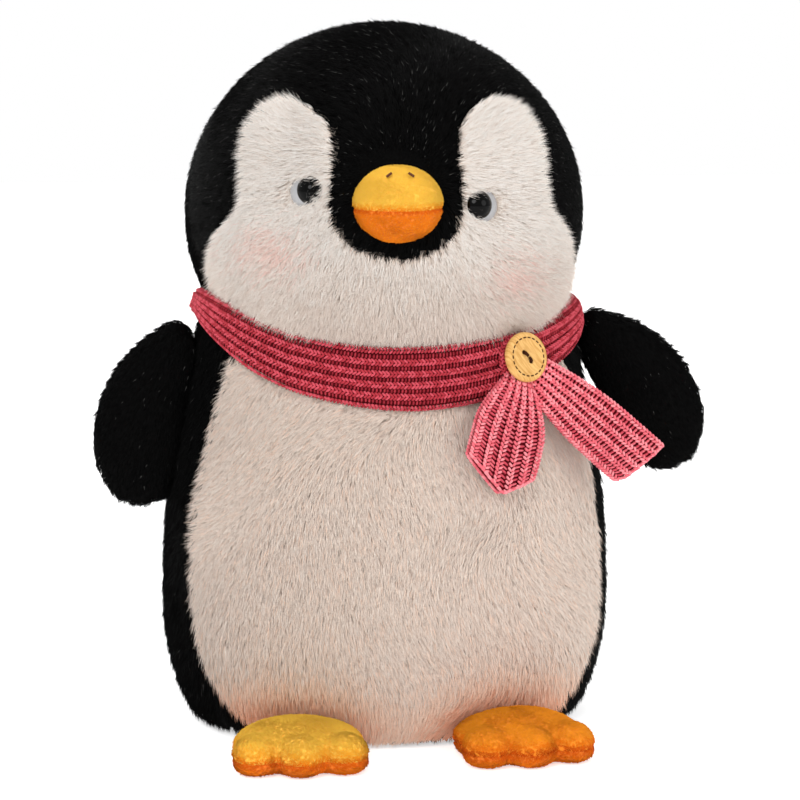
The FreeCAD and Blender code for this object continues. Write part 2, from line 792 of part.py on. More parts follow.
def build_scarf():
    inside = torso_loft("ScarfInside", "d.scarf_inside")
    outside = torso_loft("ScarfOutside", "(d.scarf_inside + d.scarf_thickness)")
    low = ellipsoid("ScarfLow", "d.scarf_low_rx", "d.scarf_low_ry", "d.scarf_low_rz", z="d.head_height")
    round_head = "d.socket_radius + d.scarf_clearance"
    high = ellipsoid("ScarfHigh", round_head, "d.scarf_high_ry", round_head, z="d.head_height")
    tube = cut("ScarfTube", outside, inside)
    node("scarf_band", cut("ScarfRing", common("ScarfBlank", tube, low), high))
    frame = button_frame()
    swung = Placement(frame.Base, frame.Rotation.multiply(Rotation(Vector(0, 0, 1), -52)))
    knot = cylinder("Knot", "d.knot_radius", "d.knot_thickness", moved(frame, 0, 0, size("knot_offset")))
    node("scarf_knot", knot)
    button = button_body("Button")
    button.Placement = moved(swung, 0, 0, size("button_offset"))
    node("scarf_button", button)
    stitches = []
    reach = size("button_thickness") - size("button_dish_depth") + size("thread_radius") + 0.15
    for side in (-1, 1):
        place = moved(swung, side * size("button_hole_half_gap"), 0, size("button_offset"))
        stitches.append(cylinder(f"Stitch{side + 2}", "d.thread_radius", f"{reach}", place))
    half, top = size("button_hole_half_gap"), size("button_offset") + reach
    start = moved(swung, -half, 0, top)
    along = Placement(start.Base, swung.Rotation.multiply(Rotation(Vector(0, 1, 0), 90)))
    stitches.append(cylinder("StitchBridge", "d.thread_radius", "2 * d.button_hole_half_gap", along))
    node("button_thread", fuse("ButtonThread", *stitches))
    for side in ("left", "right"):
        tail = tail_body(f"{side}_Tail", side)
        tail.Placement = tail_frame(side)
        node(f"{side}_scarf_tail", tail)


# --- check and write ---------------------------------------------------------------------------


def write_parts():
    doc.recompute()
    failed = [o.Name for o in doc.Objects if {"Invalid", "Error"} & set(o.State)]
    assert not failed, f"objects that did not recompute: {failed}"
    os.makedirs("parts", exist_ok=True)
    for name, obj in parts.items():
        shape = obj.Shape
        assert not shape.isNull() and shape.isValid(), f"{name} is not a valid shape"
        solids = shape.Solids
        assert solids and all(s.isClosed() and s.Volume > 0 for s in solids), f"{name} is not solid"
        whole = solids[0] if len(solids) == 1 else Part.makeCompound(solids)
        whole.exportStep(os.path.join("parts", f"{name}.step"))
        print(f"{name}: {len(solids)} solid(s), {sum(s.Volume for s in solids) / 1000:.2f} cm3")


build_torso()
build_head()
build_eye("left")
build_eye("right")
build_beak()
build_flippers()
build_feet()
build_scarf()
write_parts()
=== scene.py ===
"""The looks of the plush penguin: stuffed skins, pile, knitted scarf, wooden button, eyes, light."""

import json
import math

import bmesh
import bpy
import numpy as np
from mathutils import Matrix, Vector
from mathutils.bvhtree import BVHTree


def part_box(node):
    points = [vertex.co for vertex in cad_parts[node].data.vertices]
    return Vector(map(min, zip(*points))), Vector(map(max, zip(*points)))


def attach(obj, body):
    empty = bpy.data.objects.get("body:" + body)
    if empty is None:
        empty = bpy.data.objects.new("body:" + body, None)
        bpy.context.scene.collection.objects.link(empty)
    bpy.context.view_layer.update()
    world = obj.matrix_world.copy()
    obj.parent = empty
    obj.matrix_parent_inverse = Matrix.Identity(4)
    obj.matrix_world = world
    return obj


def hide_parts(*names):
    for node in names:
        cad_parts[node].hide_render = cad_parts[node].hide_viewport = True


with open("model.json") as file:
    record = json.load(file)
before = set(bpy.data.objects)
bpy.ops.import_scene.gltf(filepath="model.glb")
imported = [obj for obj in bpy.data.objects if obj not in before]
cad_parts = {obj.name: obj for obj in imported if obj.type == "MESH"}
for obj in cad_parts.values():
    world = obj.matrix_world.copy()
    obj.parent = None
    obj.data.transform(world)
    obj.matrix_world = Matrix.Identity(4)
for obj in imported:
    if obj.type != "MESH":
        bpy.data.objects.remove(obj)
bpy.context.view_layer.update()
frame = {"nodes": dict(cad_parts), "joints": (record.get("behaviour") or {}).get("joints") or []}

MM = 0.001
UP = np.array([0.0, 0.0, 1.0])

# --- colours -------------------------------------------------------------------------------------


def linear(*srgb):
    """An sRGB colour given in 0 to 255, as the linear colour a shader takes."""
    values = [c / 255 for c in srgb]
    return [c / 12.92 if c <= 0.04045 else ((c + 0.055) / 1.055) ** 2.4 for c in values]


FACE_TONES = [linear(236, 219, 206), linear(249, 238, 228), linear(254, 248, 241)]
BELLY_TONES = [linear(230, 211, 197), linear(240, 222, 208), linear(246, 233, 221)]
BLUSH_TONES = [linear(253, 226, 214), linear(252, 210, 198)]
# Painted bounce light: the feet's orange, reflected onto the belly's pile just above them.
FEET_BOUNCE_TONES = [linear(253, 220, 198), linear(252, 196, 166), linear(248, 172, 134)]
# The last black tone is a painted glint, for the few strands that seem to catch the light.
BLACK_TONES = [linear(1, 1, 1), linear(3, 3, 3), linear(8, 8, 8), linear(78, 77, 75)]
# From the deepest orange of the seams to the palest yellow.
VELBOA_TONES = [linear(208, 78, 6), linear(230, 102, 16), linear(246, 128, 22), linear(252, 152, 34),
                linear(253, 176, 52), linear(254, 198, 72), linear(254, 210, 96)]
YARN_TONES = [linear(150, 34, 46), linear(176, 50, 62), linear(206, 78, 92), linear(228, 108, 120),
              linear(242, 142, 150)]

# --- materials -----------------------------------------------------------------------------------


def new_material(name):
    material = bpy.data.materials.new(name)
    material.use_nodes = True
    return material, material.node_tree.nodes, material.node_tree.links


def plain(name, colour, roughness=0.7, sheen=0.0, specular=0.4):
    """One tone of pile or yarn: a dye lot, or a painted glint, bounce light or shade."""
    material, nodes, _ = new_material(name)
    shader = nodes["Principled BSDF"]
    shader.inputs["Base Color"].default_value = (*colour, 1)
    shader.inputs["Roughness"].default_value = roughness
    shader.inputs["Sheen Weight"].default_value = sheen
    shader.inputs["Specular IOR Level"].default_value = specular
    material.diffuse_color = (*colour, 1)
    return material


def mottled(name, dark, light, scale, bump, roughness=0.85, detail=6.0, stretch=(1, 1, 1), specular=0.3):
    """A cloth, felt or fibre: noise mixes two colours and raises a fine relief."""
    material, nodes, links = new_material(name)
    shader = nodes["Principled BSDF"]
    shader.inputs["Roughness"].default_value = roughness
    shader.inputs["Specular IOR Level"].default_value = specular
    coordinates = nodes.new("ShaderNodeTexCoord")
    mapping = nodes.new("ShaderNodeMapping")
    mapping.inputs["Scale"].default_value = stretch
    noise = nodes.new("ShaderNodeTexNoise")
    noise.inputs["Scale"].default_value = scale
    noise.inputs["Detail"].default_value = detail
    ramp = nodes.new("ShaderNodeValToRGB")
    ramp.color_ramp.elements[0].position = 0.35
    ramp.color_ramp.elements[0].color = (*dark, 1)
    ramp.color_ramp.elements[1].position = 0.65
    ramp.color_ramp.elements[1].color = (*light, 1)
    relief = nodes.new("ShaderNodeBump")
    relief.inputs["Strength"].default_value = bump
    relief.inputs["Distance"].default_value = 0.4 * MM
    links.new(coordinates.outputs["Object"], mapping.inputs["Vector"])
    links.new(mapping.outputs["Vector"], noise.inputs["Vector"])
    links.new(noise.outputs["Fac"], ramp.inputs["Fac"])
    links.new(ramp.outputs["Color"], shader.inputs["Base Color"])
    links.new(noise.outputs["Fac"], relief.inputs["Height"])
    links.new(relief.outputs["Normal"], shader.inputs["Normal"])
    return material


def lots(name, colours, **looks):
    return [plain(f"{name}_{i + 1}", colour, **looks) for i, colour in enumerate(colours)]


face_pile_tones = lots("face_pile", FACE_TONES + BLUSH_TONES, roughness=0.85, specular=0.15)
belly_tones_and_bounce = lots("belly_pile", BELLY_TONES + FEET_BOUNCE_TONES, roughness=0.85, specular=0.15)
black_pile = lots("black_pile", BLACK_TONES, roughness=0.6, specular=0.06)
velboa_pile = lots("velboa", VELBOA_TONES, roughness=0.85, specular=0.1)
yarn = lots("yarn", YARN_TONES, roughness=0.75, specular=0.2)

white_cloth = mottled("white_cloth", linear(222, 206, 192), linear(238, 224, 210), 900, 0.5)
black_cloth = mottled("black_cloth", linear(2, 2, 2), linear(7, 7, 7), 900, 0.5, specular=0.05)
yellow_cloth = mottled("yellow_cloth", linear(250, 180, 60), linear(253, 200, 80), 1100, 0.6)
amber_cloth = mottled("amber_cloth", linear(246, 138, 30), linear(252, 156, 42), 1100, 0.6)
orange_cloth = mottled("orange_cloth", linear(228, 110, 24), linear(244, 136, 42), 1100, 0.6)
knit_shadow = mottled("knit_shadow", linear(88, 12, 22), linear(120, 24, 34), 700, 0.6, specular=0.1)
fibre = mottled("polyester_fibre", linear(225, 225, 222), linear(246, 246, 244), 260, 1.0)
dark_thread = mottled("dark_thread", linear(40, 18, 8), linear(70, 36, 18), 2500, 0.5, specular=0.1)
brown_thread = mottled("brown_thread", linear(70, 38, 20), linear(112, 66, 38), 2500, 0.5)
nylon = mottled("moulded_nylon", linear(226, 224, 216), linear(238, 236, 230), 400, 0.1, roughness=0.4)

# --- reading the frame ---------------------------------------------------------------------------


def mesh_arrays(mesh):
    """Vertices and triangles of a mesh as arrays."""
    mesh.calc_loop_triangles()
    points = np.empty(len(mesh.vertices) * 3)
    mesh.vertices.foreach_get("co", points)
    corners = np.empty(len(mesh.loop_triangles) * 3, np.int32)
    mesh.loop_triangles.foreach_get("vertices", corners)
    return points.reshape(-1, 3), corners.reshape(-1, 3)


def node_arrays(name):
    return mesh_arrays(frame["nodes"][name].data)


def node_tree(name):
    """A node's surface, to measure distances from and to cast rays at."""
    points, corners = node_arrays(name)
    return BVHTree.FromPolygons([Vector(p) for p in points], corners.tolist())


def box_centre(name):
    low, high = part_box(name)
    return np.array((low + high) / 2)


def box_size(name):
    low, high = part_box(name)
    return np.array(high - low)


def unit(vectors):
    return vectors / np.maximum(np.linalg.norm(vectors, axis=-1, keepdims=True), 1e-12)


def principal_axes(points):
    """Centre and the directions of most, middle and least spread."""
    centre = (points.min(0) + points.max(0)) / 2
    _, _, axes = np.linalg.svd(points - points.mean(0), full_matrices=False)
    return centre, axes


head_centre = box_centre("head_filling")
head_radii = box_size("head_filling") / 2
beak_middle = box_centre("beak_upper")
torso_middle = box_centre("base_panel")[:2]

# --- meshes --------------------------------------------------------------------------------------


def add_object(name, mesh, materials):
    piece = bpy.data.objects.new(name, mesh)
    bpy.context.scene.collection.objects.link(piece)
    for material in materials:
        mesh.materials.append(material)
    return piece


def settle(piece, body, slot, *nodes):
    """piece moves with body and stands for nodes; slot, the name of its finish, is not used."""
    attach(piece, body)
    if nodes:
        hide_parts(*nodes)
    return piece


def mesh_from(name, points, faces):
    mesh = bpy.data.meshes.new(name)
    mesh.from_pydata([tuple(p) for p in points], [], [tuple(int(i) for i in f) for f in faces])
    mesh.update()
    mesh.polygons.foreach_set("use_smooth", np.ones(len(mesh.polygons), bool))
    return mesh


def places_of(mesh):
    return np.array([v.co for v in mesh.vertices])


def normals_of(mesh):
    return np.array([v.normal for v in mesh.vertices])


def move_to(mesh, places):
    mesh.vertices.foreach_set("co", places.ravel())
    mesh.update()


def finish_with(mesh, material):
    mesh.materials.clear()
    mesh.materials.append(material)


def apply_modifiers(piece):
    graph = bpy.context.evaluated_depsgraph_get()
    done = bpy.data.meshes.new_from_object(piece.evaluated_get(graph))
    piece.modifiers.clear()
    piece.data = done
    return piece


def stuffed_bag(name, filling, offset, voxel):
    """A closed bag round a filling: its surface remeshed and pushed out to the fabric's face."""
    points, corners = node_arrays(filling)
    bag = add_object(name, mesh_from(name, points, corners), [])
    remesh = bag.modifiers.new("remesh", "REMESH")
    remesh.mode = "VOXEL"
    remesh.voxel_size = voxel
    apply_modifiers(bag)
    smooth = bag.modifiers.new("smooth", "SMOOTH")
    smooth.iterations = 4
    apply_modifiers(bag)
    move_to(bag.data, places_of(bag.data) + normals_of(bag.data) * offset)
    return bag


def inflate(bag, cap, pinned, pressure=4.0, frames=20):
    """Cloth under pressure from inside. pinned tells the seam's vertices; no vertex moves past cap."""
    start = places_of(bag.data)
    seam = bag.vertex_groups.new(name="seam")
    seam.add([int(i) for i in np.nonzero(pinned(start))[0]], 1.0, "REPLACE")
    cloth = bag.modifiers.new("cloth", "CLOTH")
    settings = cloth.settings
    settings.quality = 6
    settings.mass = 0.15
    settings.tension_stiffness = settings.compression_stiffness = 12
    settings.shear_stiffness = 6
    settings.bending_stiffness = 0.4
    settings.use_pressure = True
    settings.uniform_pressure_force = pressure
    settings.effector_weights.gravity = 0
    settings.vertex_group_mass = "seam"
    scene = bpy.context.scene
    cloth.point_cache.frame_start, cloth.point_cache.frame_end = 1, frames
    for number in range(1, frames + 1):
        scene.frame_set(number)
    graph = bpy.context.evaluated_depsgraph_get()
    moved = bag.evaluated_get(graph).to_mesh()
    end = places_of(moved)
    bag.evaluated_get(graph).to_mesh_clear()
    bag.modifiers.clear()
    scene.frame_set(1)
    travel = np.nan_to_num(end - start)
    length = np.linalg.norm(travel, axis=1, keepdims=True)
    travel *= np.minimum(1, cap / np.maximum(length, 1e-9))
    move_to(bag.data, start + travel)
    return bag


def cut_to_panels(bag, pieces, reach, reshape=lambda points: points):
    """Shares a bag's faces out among its panels, by the nearest CAD panel, and drops the bag."""
    trees = {panel: node_tree(panel) for panel in pieces}
    shares = {panel: [] for panel in pieces}
    for face in bag.data.polygons:
        nearest = {panel: tree.find_nearest(face.center)[3] for panel, tree in trees.items()}
        best = min(nearest, key=nearest.get)
        if nearest[best] < reach:
            shares[best].append(list(face.vertices))
    places = reshape(places_of(bag.data))
    made = {}
    for panel, faces in shares.items():
        used = sorted({i for face in faces for i in face})
        renumber = {old: new for new, old in enumerate(used)}
        mesh = mesh_from(f"{panel}_skin", places[used], [[renumber[i] for i in f] for f in faces])
        body, slot, material = pieces[panel]
        skin = add_object(f"{panel}_skin", mesh, [material])
        thick = skin.modifiers.new("thickness", "SOLIDIFY")
        thick.thickness = 1.2 * MM
        thick.offset = -1
        apply_modifiers(skin)
        finish_with(skin.data, material)
        made[panel] = settle(skin, body, slot, panel)
    bpy.data.objects.remove(bag)
    return made


# --- pile ----------------------------------------------------------------------------------------

BEND = 0.45
MOST_STRANDS = 32000


class Pile:
    """How the pile of one piece lies. Lengths and widths are in metres, density is per square mm."""

    def __init__(self, density, length, width, lift, stray, clump=7, spread=2.0 * MM, shine=0.6):
        self.density, self.length, self.width = density, length, width
        self.lift, self.stray, self.clump = lift, stray, clump
        self.spread, self.shine = spread, shine


def scatter(points, corners, count, rng):
    """Random places on triangles, and each one's triangle normal."""
    a, b, c = (points[corners[:, i]] for i in range(3))
    cross = np.cross(b - a, c - a)
    area = np.linalg.norm(cross, axis=1) / 2
    pick = rng.choice(len(corners), count, p=area / area.sum())
    u, v = rng.random(count), rng.random(count)
    over = u + v > 1
    u[over], v[over] = 1 - u[over], 1 - v[over]
    places = a[pick] + (b - a)[pick] * u[:, None] + (c - a)[pick] * v[:, None]
    return places, unit(cross[pick])


def area_of(points, corners):
    a, b, c = (points[corners[:, i]] for i in range(3))
    return np.linalg.norm(np.cross(b - a, c - a), axis=1).sum() / 2


def outward_faces(points, corners, middle_of):
    """The triangles that face away from the middle of the piece."""
    a, b, c = (points[corners[:, i]] for i in range(3))
    normal = unit(np.cross(b - a, c - a))
    centre = (a + b + c) / 3
    away = unit(centre - middle_of(centre))
    return corners[np.einsum("ij,ij->i", normal, away) > 0.45]


def strand_mesh(name, roots, first, second, lengths, widths, skin_normals, tones, shine):
    """Closed, bent strands, each pointed at its root and its tip and three-sided at its bend."""
    count = len(roots)
    side = unit(np.cross(first, skin_normals) + 1e-5)
    other = np.cross(first, side)
    angles = np.arange(3) * 2 * math.pi / 3
    ring = side[:, None] * np.cos(angles)[None, :, None] + other[:, None] * np.sin(angles)[None, :, None]
    foot = roots - first * 0.6 * MM
    middle = roots + first * (lengths * BEND)[:, None]
    tip = middle + second * (lengths * (1 - BEND))[:, None]
    verts = np.empty((count, 5, 3))
    verts[:, 0] = foot
    verts[:, 1:4] = middle[:, None] + ring * widths[:, None, None] / 2
    verts[:, 4] = tip
    pattern = np.array([0, 2, 1, 0, 3, 2, 0, 1, 3, 4, 1, 2, 4, 2, 3, 4, 3, 1])
    loops = (pattern[None] + np.arange(count)[:, None] * 5).ravel()
    mesh = bpy.data.meshes.new(name)
    mesh.vertices.add(count * 5)
    mesh.vertices.foreach_set("co", verts.ravel())
    mesh.loops.add(count * 18)
    mesh.loops.foreach_set("vertex_index", loops.astype(np.int32))
    mesh.polygons.add(count * 6)
    mesh.polygons.foreach_set("loop_start", np.arange(0, count * 18, 3, dtype=np.int32))
    mesh.polygons.foreach_set("material_index", np.repeat(tones, 3, axis=1).ravel().astype(np.int32))
    mesh.polygons.foreach_set("use_smooth", np.ones(count * 6, bool))
    mesh.update(calc_edges=True)
    normals = np.empty((count, 5, 3))
    normals[:, 0] = skin_normals
    normals[:, 1:4] = unit(ring * (1 - shine) + skin_normals[:, None] * shine)
    normals[:, 4] = unit(skin_normals * 0.8 + second * 0.2)
    mesh.normals_split_custom_set_from_vertices(normals.reshape(-1, 3).tolist())
    return mesh


def grow(name, surface, look, comb, tone_of, materials, body, slot, seed, keep=None, smooth_normal=None):
    """Pile on a surface: comb(points, normals) is the lie, tone_of(points, rng) the tones of root and tip.
    """
    points, corners = surface
    rng = np.random.default_rng(seed)
    strands = int(area_of(points, corners) * 1e6 * look.density)
    clumps = max(strands // look.clump, 1)
    centres, flat = scatter(points, corners, clumps, rng)
    normals = smooth_normal(centres) if smooth_normal else flat
    if keep is not None:
        share = keep(centres)
        stays = share > 0
        centres, normals, share = centres[stays], normals[stays], share[stays]
    else:
        share = np.ones(len(centres))
    clumps = len(centres)
    lie = comb(centres, normals)
    lie = lie - normals * np.einsum("ij,ij->i", lie, normals)[:, None]
    lie = unit(lie)
    wander = rng.normal(0, look.stray, (clumps, 3))
    heading = unit(normals * look.lift + lie * math.sqrt(1 - look.lift**2) + wander)
    long = look.length * share * rng.uniform(0.8, 1.15, clumps)
    which = np.repeat(np.arange(clumps), look.clump)
    count = len(which)
    n, t = normals[which], lie[which]
    across = np.cross(n, t)
    angle, radius = rng.uniform(0, 2 * math.pi, count), np.sqrt(rng.random(count)) * look.spread
    shift = t * (np.cos(angle) * radius)[:, None] + across * (np.sin(angle) * radius)[:, None]
    roots = centres[which] + shift
    first = unit(heading[which] + n * 0.25 + rng.normal(0, look.stray * 0.6, (count, 3)))
    # Tips lean together, so that a clump narrows to a lock.
    inwards = shift / look.length * 0.9
    second = unit(heading[which] - n * 0.25 - inwards + rng.normal(0, look.stray * 0.5, (count, 3)))
    lengths = long[which] * rng.uniform(0.65, 1.1, count)
    widths = look.width * rng.uniform(0.75, 1.2, count)
    tones = tone_of(roots, rng)
    made = []
    parts = max(1, math.ceil(count / MOST_STRANDS))
    for number in range(parts):
        chosen = slice(number * count // parts, (number + 1) * count // parts)
        label = name if parts == 1 else f"{name}_{number + 1}"
        mesh = strand_mesh(label, roots[chosen], first[chosen], second[chosen], lengths[chosen],
                           widths[chosen], n[chosen], tones[chosen], look.shine)
        made.append(settle(add_object(label, mesh, materials), body, slot))
    return made


def tones(probabilities):
    """A chooser of tones: the tip's tone is drawn, and the root takes the next darker one."""

    def choose(points, rng):
        tip = rng.choice(len(probabilities), len(points), p=probabilities)
        darker = np.minimum(tip, len(probabilities) - 2) - 1
        return np.stack([np.maximum(darker, 0), tip], 1)

    return choose


def head_normals(points):
    return unit((points - head_centre) / head_radii**2)


def head_middle(points):
    return np.broadcast_to(head_centre, points.shape)


def torso_axis(points):
    low, high = 45 * MM, 165 * MM
    middle = np.empty_like(points)
    middle[:, :2] = torso_middle
    middle[:, 2] = np.clip(points[:, 2], low, high)
    return middle


# The torso's half widths and depths by height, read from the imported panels.
side_panels = ("belly_panel", "left_back_panel", "right_back_panel")
panel_points = np.concatenate([node_arrays(panel)[0] for panel in side_panels])
levels = np.linspace(3 * MM, 214 * MM, 36)
half_width, half_depth = [], []
for level in levels:
    near = panel_points[np.abs(panel_points[:, 2] - level) < 9 * MM]
    half_width.append(np.abs(near[:, 0]).max() if len(near) else np.nan)
    half_depth.append(np.abs(near[:, 1] - torso_middle[1]).max() if len(near) else np.nan)
half_width, half_depth = np.array(half_width), np.array(half_depth)


def torso_normals(points):
    """Normals of the ellipses' envelope, so that pile is lit as one smooth body."""
    z = points[:, 2]
    w, d = np.interp(z, levels, half_width), np.interp(z, levels, half_depth)
    step = 6 * MM
    slope_w, slope_d = (
        (np.interp(z + step, levels, half) - np.interp(z - step, levels, half)) / (2 * step)
        for half in (half_width, half_depth)
    )
    x, y = points[:, 0], points[:, 1] - torso_middle[1]
    rise = -(x**2 / w**3 * slope_w + y**2 / d**3 * slope_d)
    return unit(np.stack([x / w**2, y / d**2, rise], 1))


def swirl(points, scale, seed):
    """A smooth wandering direction, as pile lies after handling."""
    rng = np.random.default_rng(seed)
    total = np.zeros_like(points)
    for _ in range(5):
        wave = rng.normal(0, 1, 3) / scale
        phase = rng.uniform(0, 6.28)
        total += np.sin(points @ wave + phase)[:, None] * rng.normal(0, 0.45, 3)
    return total


# --- the scarf's surface -------------------------------------------------------------------------


class Band:
    """The outer face of the scarf's band, as height range and distance from the axis by bearing."""

    STEPS = 240
    # How far the knitting's edges lie inside the CAD band's.
    RISE_RIGHT, RISE_LEFT, RISE_BEHIND, DROP_LEFT = 17 * MM, 9 * MM, 10 * MM, 5 * MM

    def __init__(self):
        points = node_arrays("scarf_band")[0]
        self.tree = node_tree("scarf_band")
        self.low, self.high = np.zeros(self.STEPS), np.zeros(self.STEPS)
        floor, ceiling = points[:, 2].min(), points[:, 2].max()
        self.bearings = np.arange(self.STEPS) * 2 * math.pi / self.STEPS
        for number, bearing in enumerate(self.bearings):
            found = [z for z in np.arange(floor, ceiling, 1 * MM) if self.hit(bearing, z) is not None]
            self.low[number], self.high[number] = found[0], found[-1]
        kernel = np.ones(9) / 9
        wrap = lambda a: np.convolve(np.concatenate([a[-4:], a, a[:4]]), kernel, "valid")
        self.low, self.high = wrap(self.low), wrap(self.high)
        # The knitting draws together where it rises over the shoulders, most on the right.
        turn = (self.bearings + math.pi) % (2 * math.pi) - math.pi
        most = np.where(turn < 0, self.RISE_RIGHT, self.RISE_LEFT)
        rise = most * np.clip((np.abs(turn) - 0.7) / 0.8, 0, 1) ** 1.2
        drop = np.where(turn > 0, self.DROP_LEFT, 0) * np.clip((turn - 0.7) / 0.7, 0, 1)
        behind = np.clip((np.abs(turn) - 2.2) / 0.7, 0, 1)
        self.low += rise * (1 - behind) + self.RISE_BEHIND * behind
        self.high -= drop * (1 - behind)

    def hit(self, bearing, z):
        out = Vector((math.sin(bearing), -math.cos(bearing), 0))
        start = Vector((torso_middle[0], torso_middle[1], z)) + out * 0.3
        place, normal, _, distance = self.tree.ray_cast(start, -out)
        if place is None or distance > 0.3 - 55 * MM:
            return None
        if normal.dot(out) < 0.3:
            return None
        return place, normal

    def edges(self, bearing):
        low = np.interp(bearing, self.bearings, self.low, period=2 * math.pi)
        high = np.interp(bearing, self.bearings, self.high, period=2 * math.pi)
        return low, high


band = Band()


def bearing_of(points):
    return np.arctan2(points[:, 0] - torso_middle[0], -(points[:, 1] - torso_middle[1]))


def clear_of_scarf(points):
    """1 below the scarf's band, falling to 0 just under it and above."""
    low, _ = band.edges(bearing_of(points))
    return np.clip((low + 2 * MM - points[:, 2]) / (5 * MM), 0, 1)


# --- skins ---------------------------------------------------------------------------------------

head_panels = {
    "face_panel": ("head", "white_plush", white_cloth),
    "hood_gusset": ("head", "black_plush", black_cloth),
    "hood_left_panel": ("head", "black_plush", black_cloth),
    "hood_right_panel": ("head", "black_plush", black_cloth),
    "head_base_disc": ("head", "black_plush", black_cloth),
}
torso_panels = {
    "belly_panel": ("torso", "white_plush", white_cloth),
    "left_back_panel": ("torso", "black_plush", black_cloth),
    "right_back_panel": ("torso", "black_plush", black_cloth),
    "base_panel": ("torso", "black_plush", black_cloth),
}


CHEEK_HEIGHT, CHEEK_SPREAD, CHEEK_PUSH = 214 * MM, 20 * MM, 8.5 * MM


def plump(points):
    """Cheeks and chin stand out from the round head, down over the scarf's top edge."""
    low = np.exp(-(((points[:, 2] - CHEEK_HEIGHT) / CHEEK_SPREAD) ** 2))
    front = np.clip((head_centre[1] - points[:, 1] - 30 * MM) / (35 * MM), 0, 1)
    push = CHEEK_PUSH * low * front
    return points + (unit(points - head_centre) + UP * -0.45) * push[:, None]


def near_seams(panels, reach):
    """Tells which points lie near the boundary between two panels' CAD solids."""
    trees = [node_tree(panel) for panel in panels]

    def test(points):
        marks = []
        for p in points:
            distances = sorted((t.find_nearest(Vector(p))[3] or 1.0) for t in trees)
            marks.append(distances[1] < reach)
        return np.array(marks)

    return test


head_bag = stuffed_bag("head_bag", "head_filling", 2.8 * MM, 5 * MM)
inflate(head_bag, 1.2 * MM, near_seams(list(head_panels), 3 * MM))
cut_to_panels(head_bag, head_panels, 6 * MM, plump)

torso_bag = stuffed_bag("torso_bag", "torso_filling", 2.8 * MM, 5 * MM)
inflate(torso_bag, 1.2 * MM, near_seams(list(torso_panels), 3 * MM))
cut_to_panels(torso_bag, torso_panels, 6 * MM)

FACING_FROM_Z, FACING_FROM_Y = 160 * MM, -35 * MM
FACING_LIFT, FACING_THICK = 0.3 * MM, 0.4 * MM


def turned_in_facing(name, filling, material):
    """The back's fabric turned in over the torso's rim and down the neck's socket."""
    points, corners = node_arrays(filling)
    middles = points[corners].mean(1)
    high = corners[(middles[:, 2] > FACING_FROM_Z) & (middles[:, 1] > FACING_FROM_Y)]
    # Vertices that share a place are one, and triangles that this folds up are left out.
    grid = np.round(points / (0.01 * MM))
    _, first, whole = np.unique(grid, axis=0, return_index=True, return_inverse=True)
    faces = whole.reshape(-1)[high]
    faces = faces[(faces != np.roll(faces, -1, axis=1)).all(1)]
    used, faces = np.unique(faces, return_inverse=True)
    mesh = mesh_from(name, points[first][used], faces.reshape(-1, 3).tolist())
    move_to(mesh, points[first][used] + normals_of(mesh) * FACING_LIFT)
    facing = add_object(name, mesh, [material])
    thick = facing.modifiers.new("thickness", "SOLIDIFY")
    thick.thickness, thick.offset = FACING_THICK, 1
    apply_modifiers(facing)
    finish_with(facing.data, material)
    return settle(facing, "torso", "black_plush")


turned_in_facing("back_facing", "torso_filling", black_cloth)

# --- head's pile ---------------------------------------------------------------------------------

eyes = {}
for side in ("left", "right"):
    ring, axes = principal_axes(node_arrays(f"{side}_eye_washer")[0])
    axis = axes[2] if np.dot(axes[2], ring - head_centre) > 0 else -axes[2]
    rim = node_arrays(f"{side}_eye_white")[0]
    along = (rim - ring) @ axis
    spread = np.linalg.norm(rim - ring - along[:, None] * axis, axis=1)
    base = along[spread > spread.max() * 0.98].mean()
    eyes[side] = {"centre": ring + axis * base, "axis": axis, "radius": spread.max()}


# Half width and half height of the beak's root, in millimetres.
BEAK_ROOT = np.array([20.5, 17.5])


def clear_of_face_parts(points):
    """Pile shortens at the eyes' rims and stops under the eyes and the beak."""
    share = np.ones(len(points))
    # The pile stands over each eye's rim on the beak's side, and more over the right eye.
    for sign, eye, cover in ((1, eyes["left"], 1.4 * MM), (-1, eyes["right"], 3.6 * MM)):
        shift = np.array([sign * 2.4 * MM, 0, 0])
        away = np.linalg.norm(points - eye["centre"] - shift, axis=1) - eye["radius"]
        share = np.minimum(share, np.clip((away + cover) / (5 * MM), 0, 1) ** 0.7)
    from_beak = (points - beak_middle)[:, [0, 2]] / BEAK_ROOT / MM
    in_front = points[:, 1] < head_centre[1]
    radial = np.linalg.norm(from_beak, axis=1)
    share = np.where(in_front, np.minimum(share, np.clip((radial - 0.86) / 0.35, 0, 1)), share)
    return share


def clear_of_socket(points):
    """The head's underside, down in the torso's socket, has no pile."""
    _, high = band.edges(bearing_of(points))
    sides = np.abs(points[:, 0]) / head_radii[0]
    limit = np.minimum(high, 206 * MM + 10 * MM * sides)
    limit = limit - 8 * MM * np.clip(points[:, 1] / (30 * MM), 0, 1)
    return np.clip((points[:, 2] - limit + 14 * MM) / (6 * MM), 0, 1)


def head_keep(points):
    return np.minimum(clear_of_face_parts(points), clear_of_socket(points))


def face_comb(points, normals):
    away = unit(points - (beak_middle + np.array([0, 0, 6 * MM])))
    return away + UP * -0.35 + swirl(points, 20 * MM, 3) * 0.35


def hood_comb(points, normals):
    away = unit(points - beak_middle)
    behind = np.clip((points[:, 1] - head_centre[1]) / head_radii[1] * 0.5 + 0.5, 0, 1)[:, None]
    return away * (1 - behind) + UP * -1.2 * behind + swirl(points, 30 * MM, 4) * 0.3


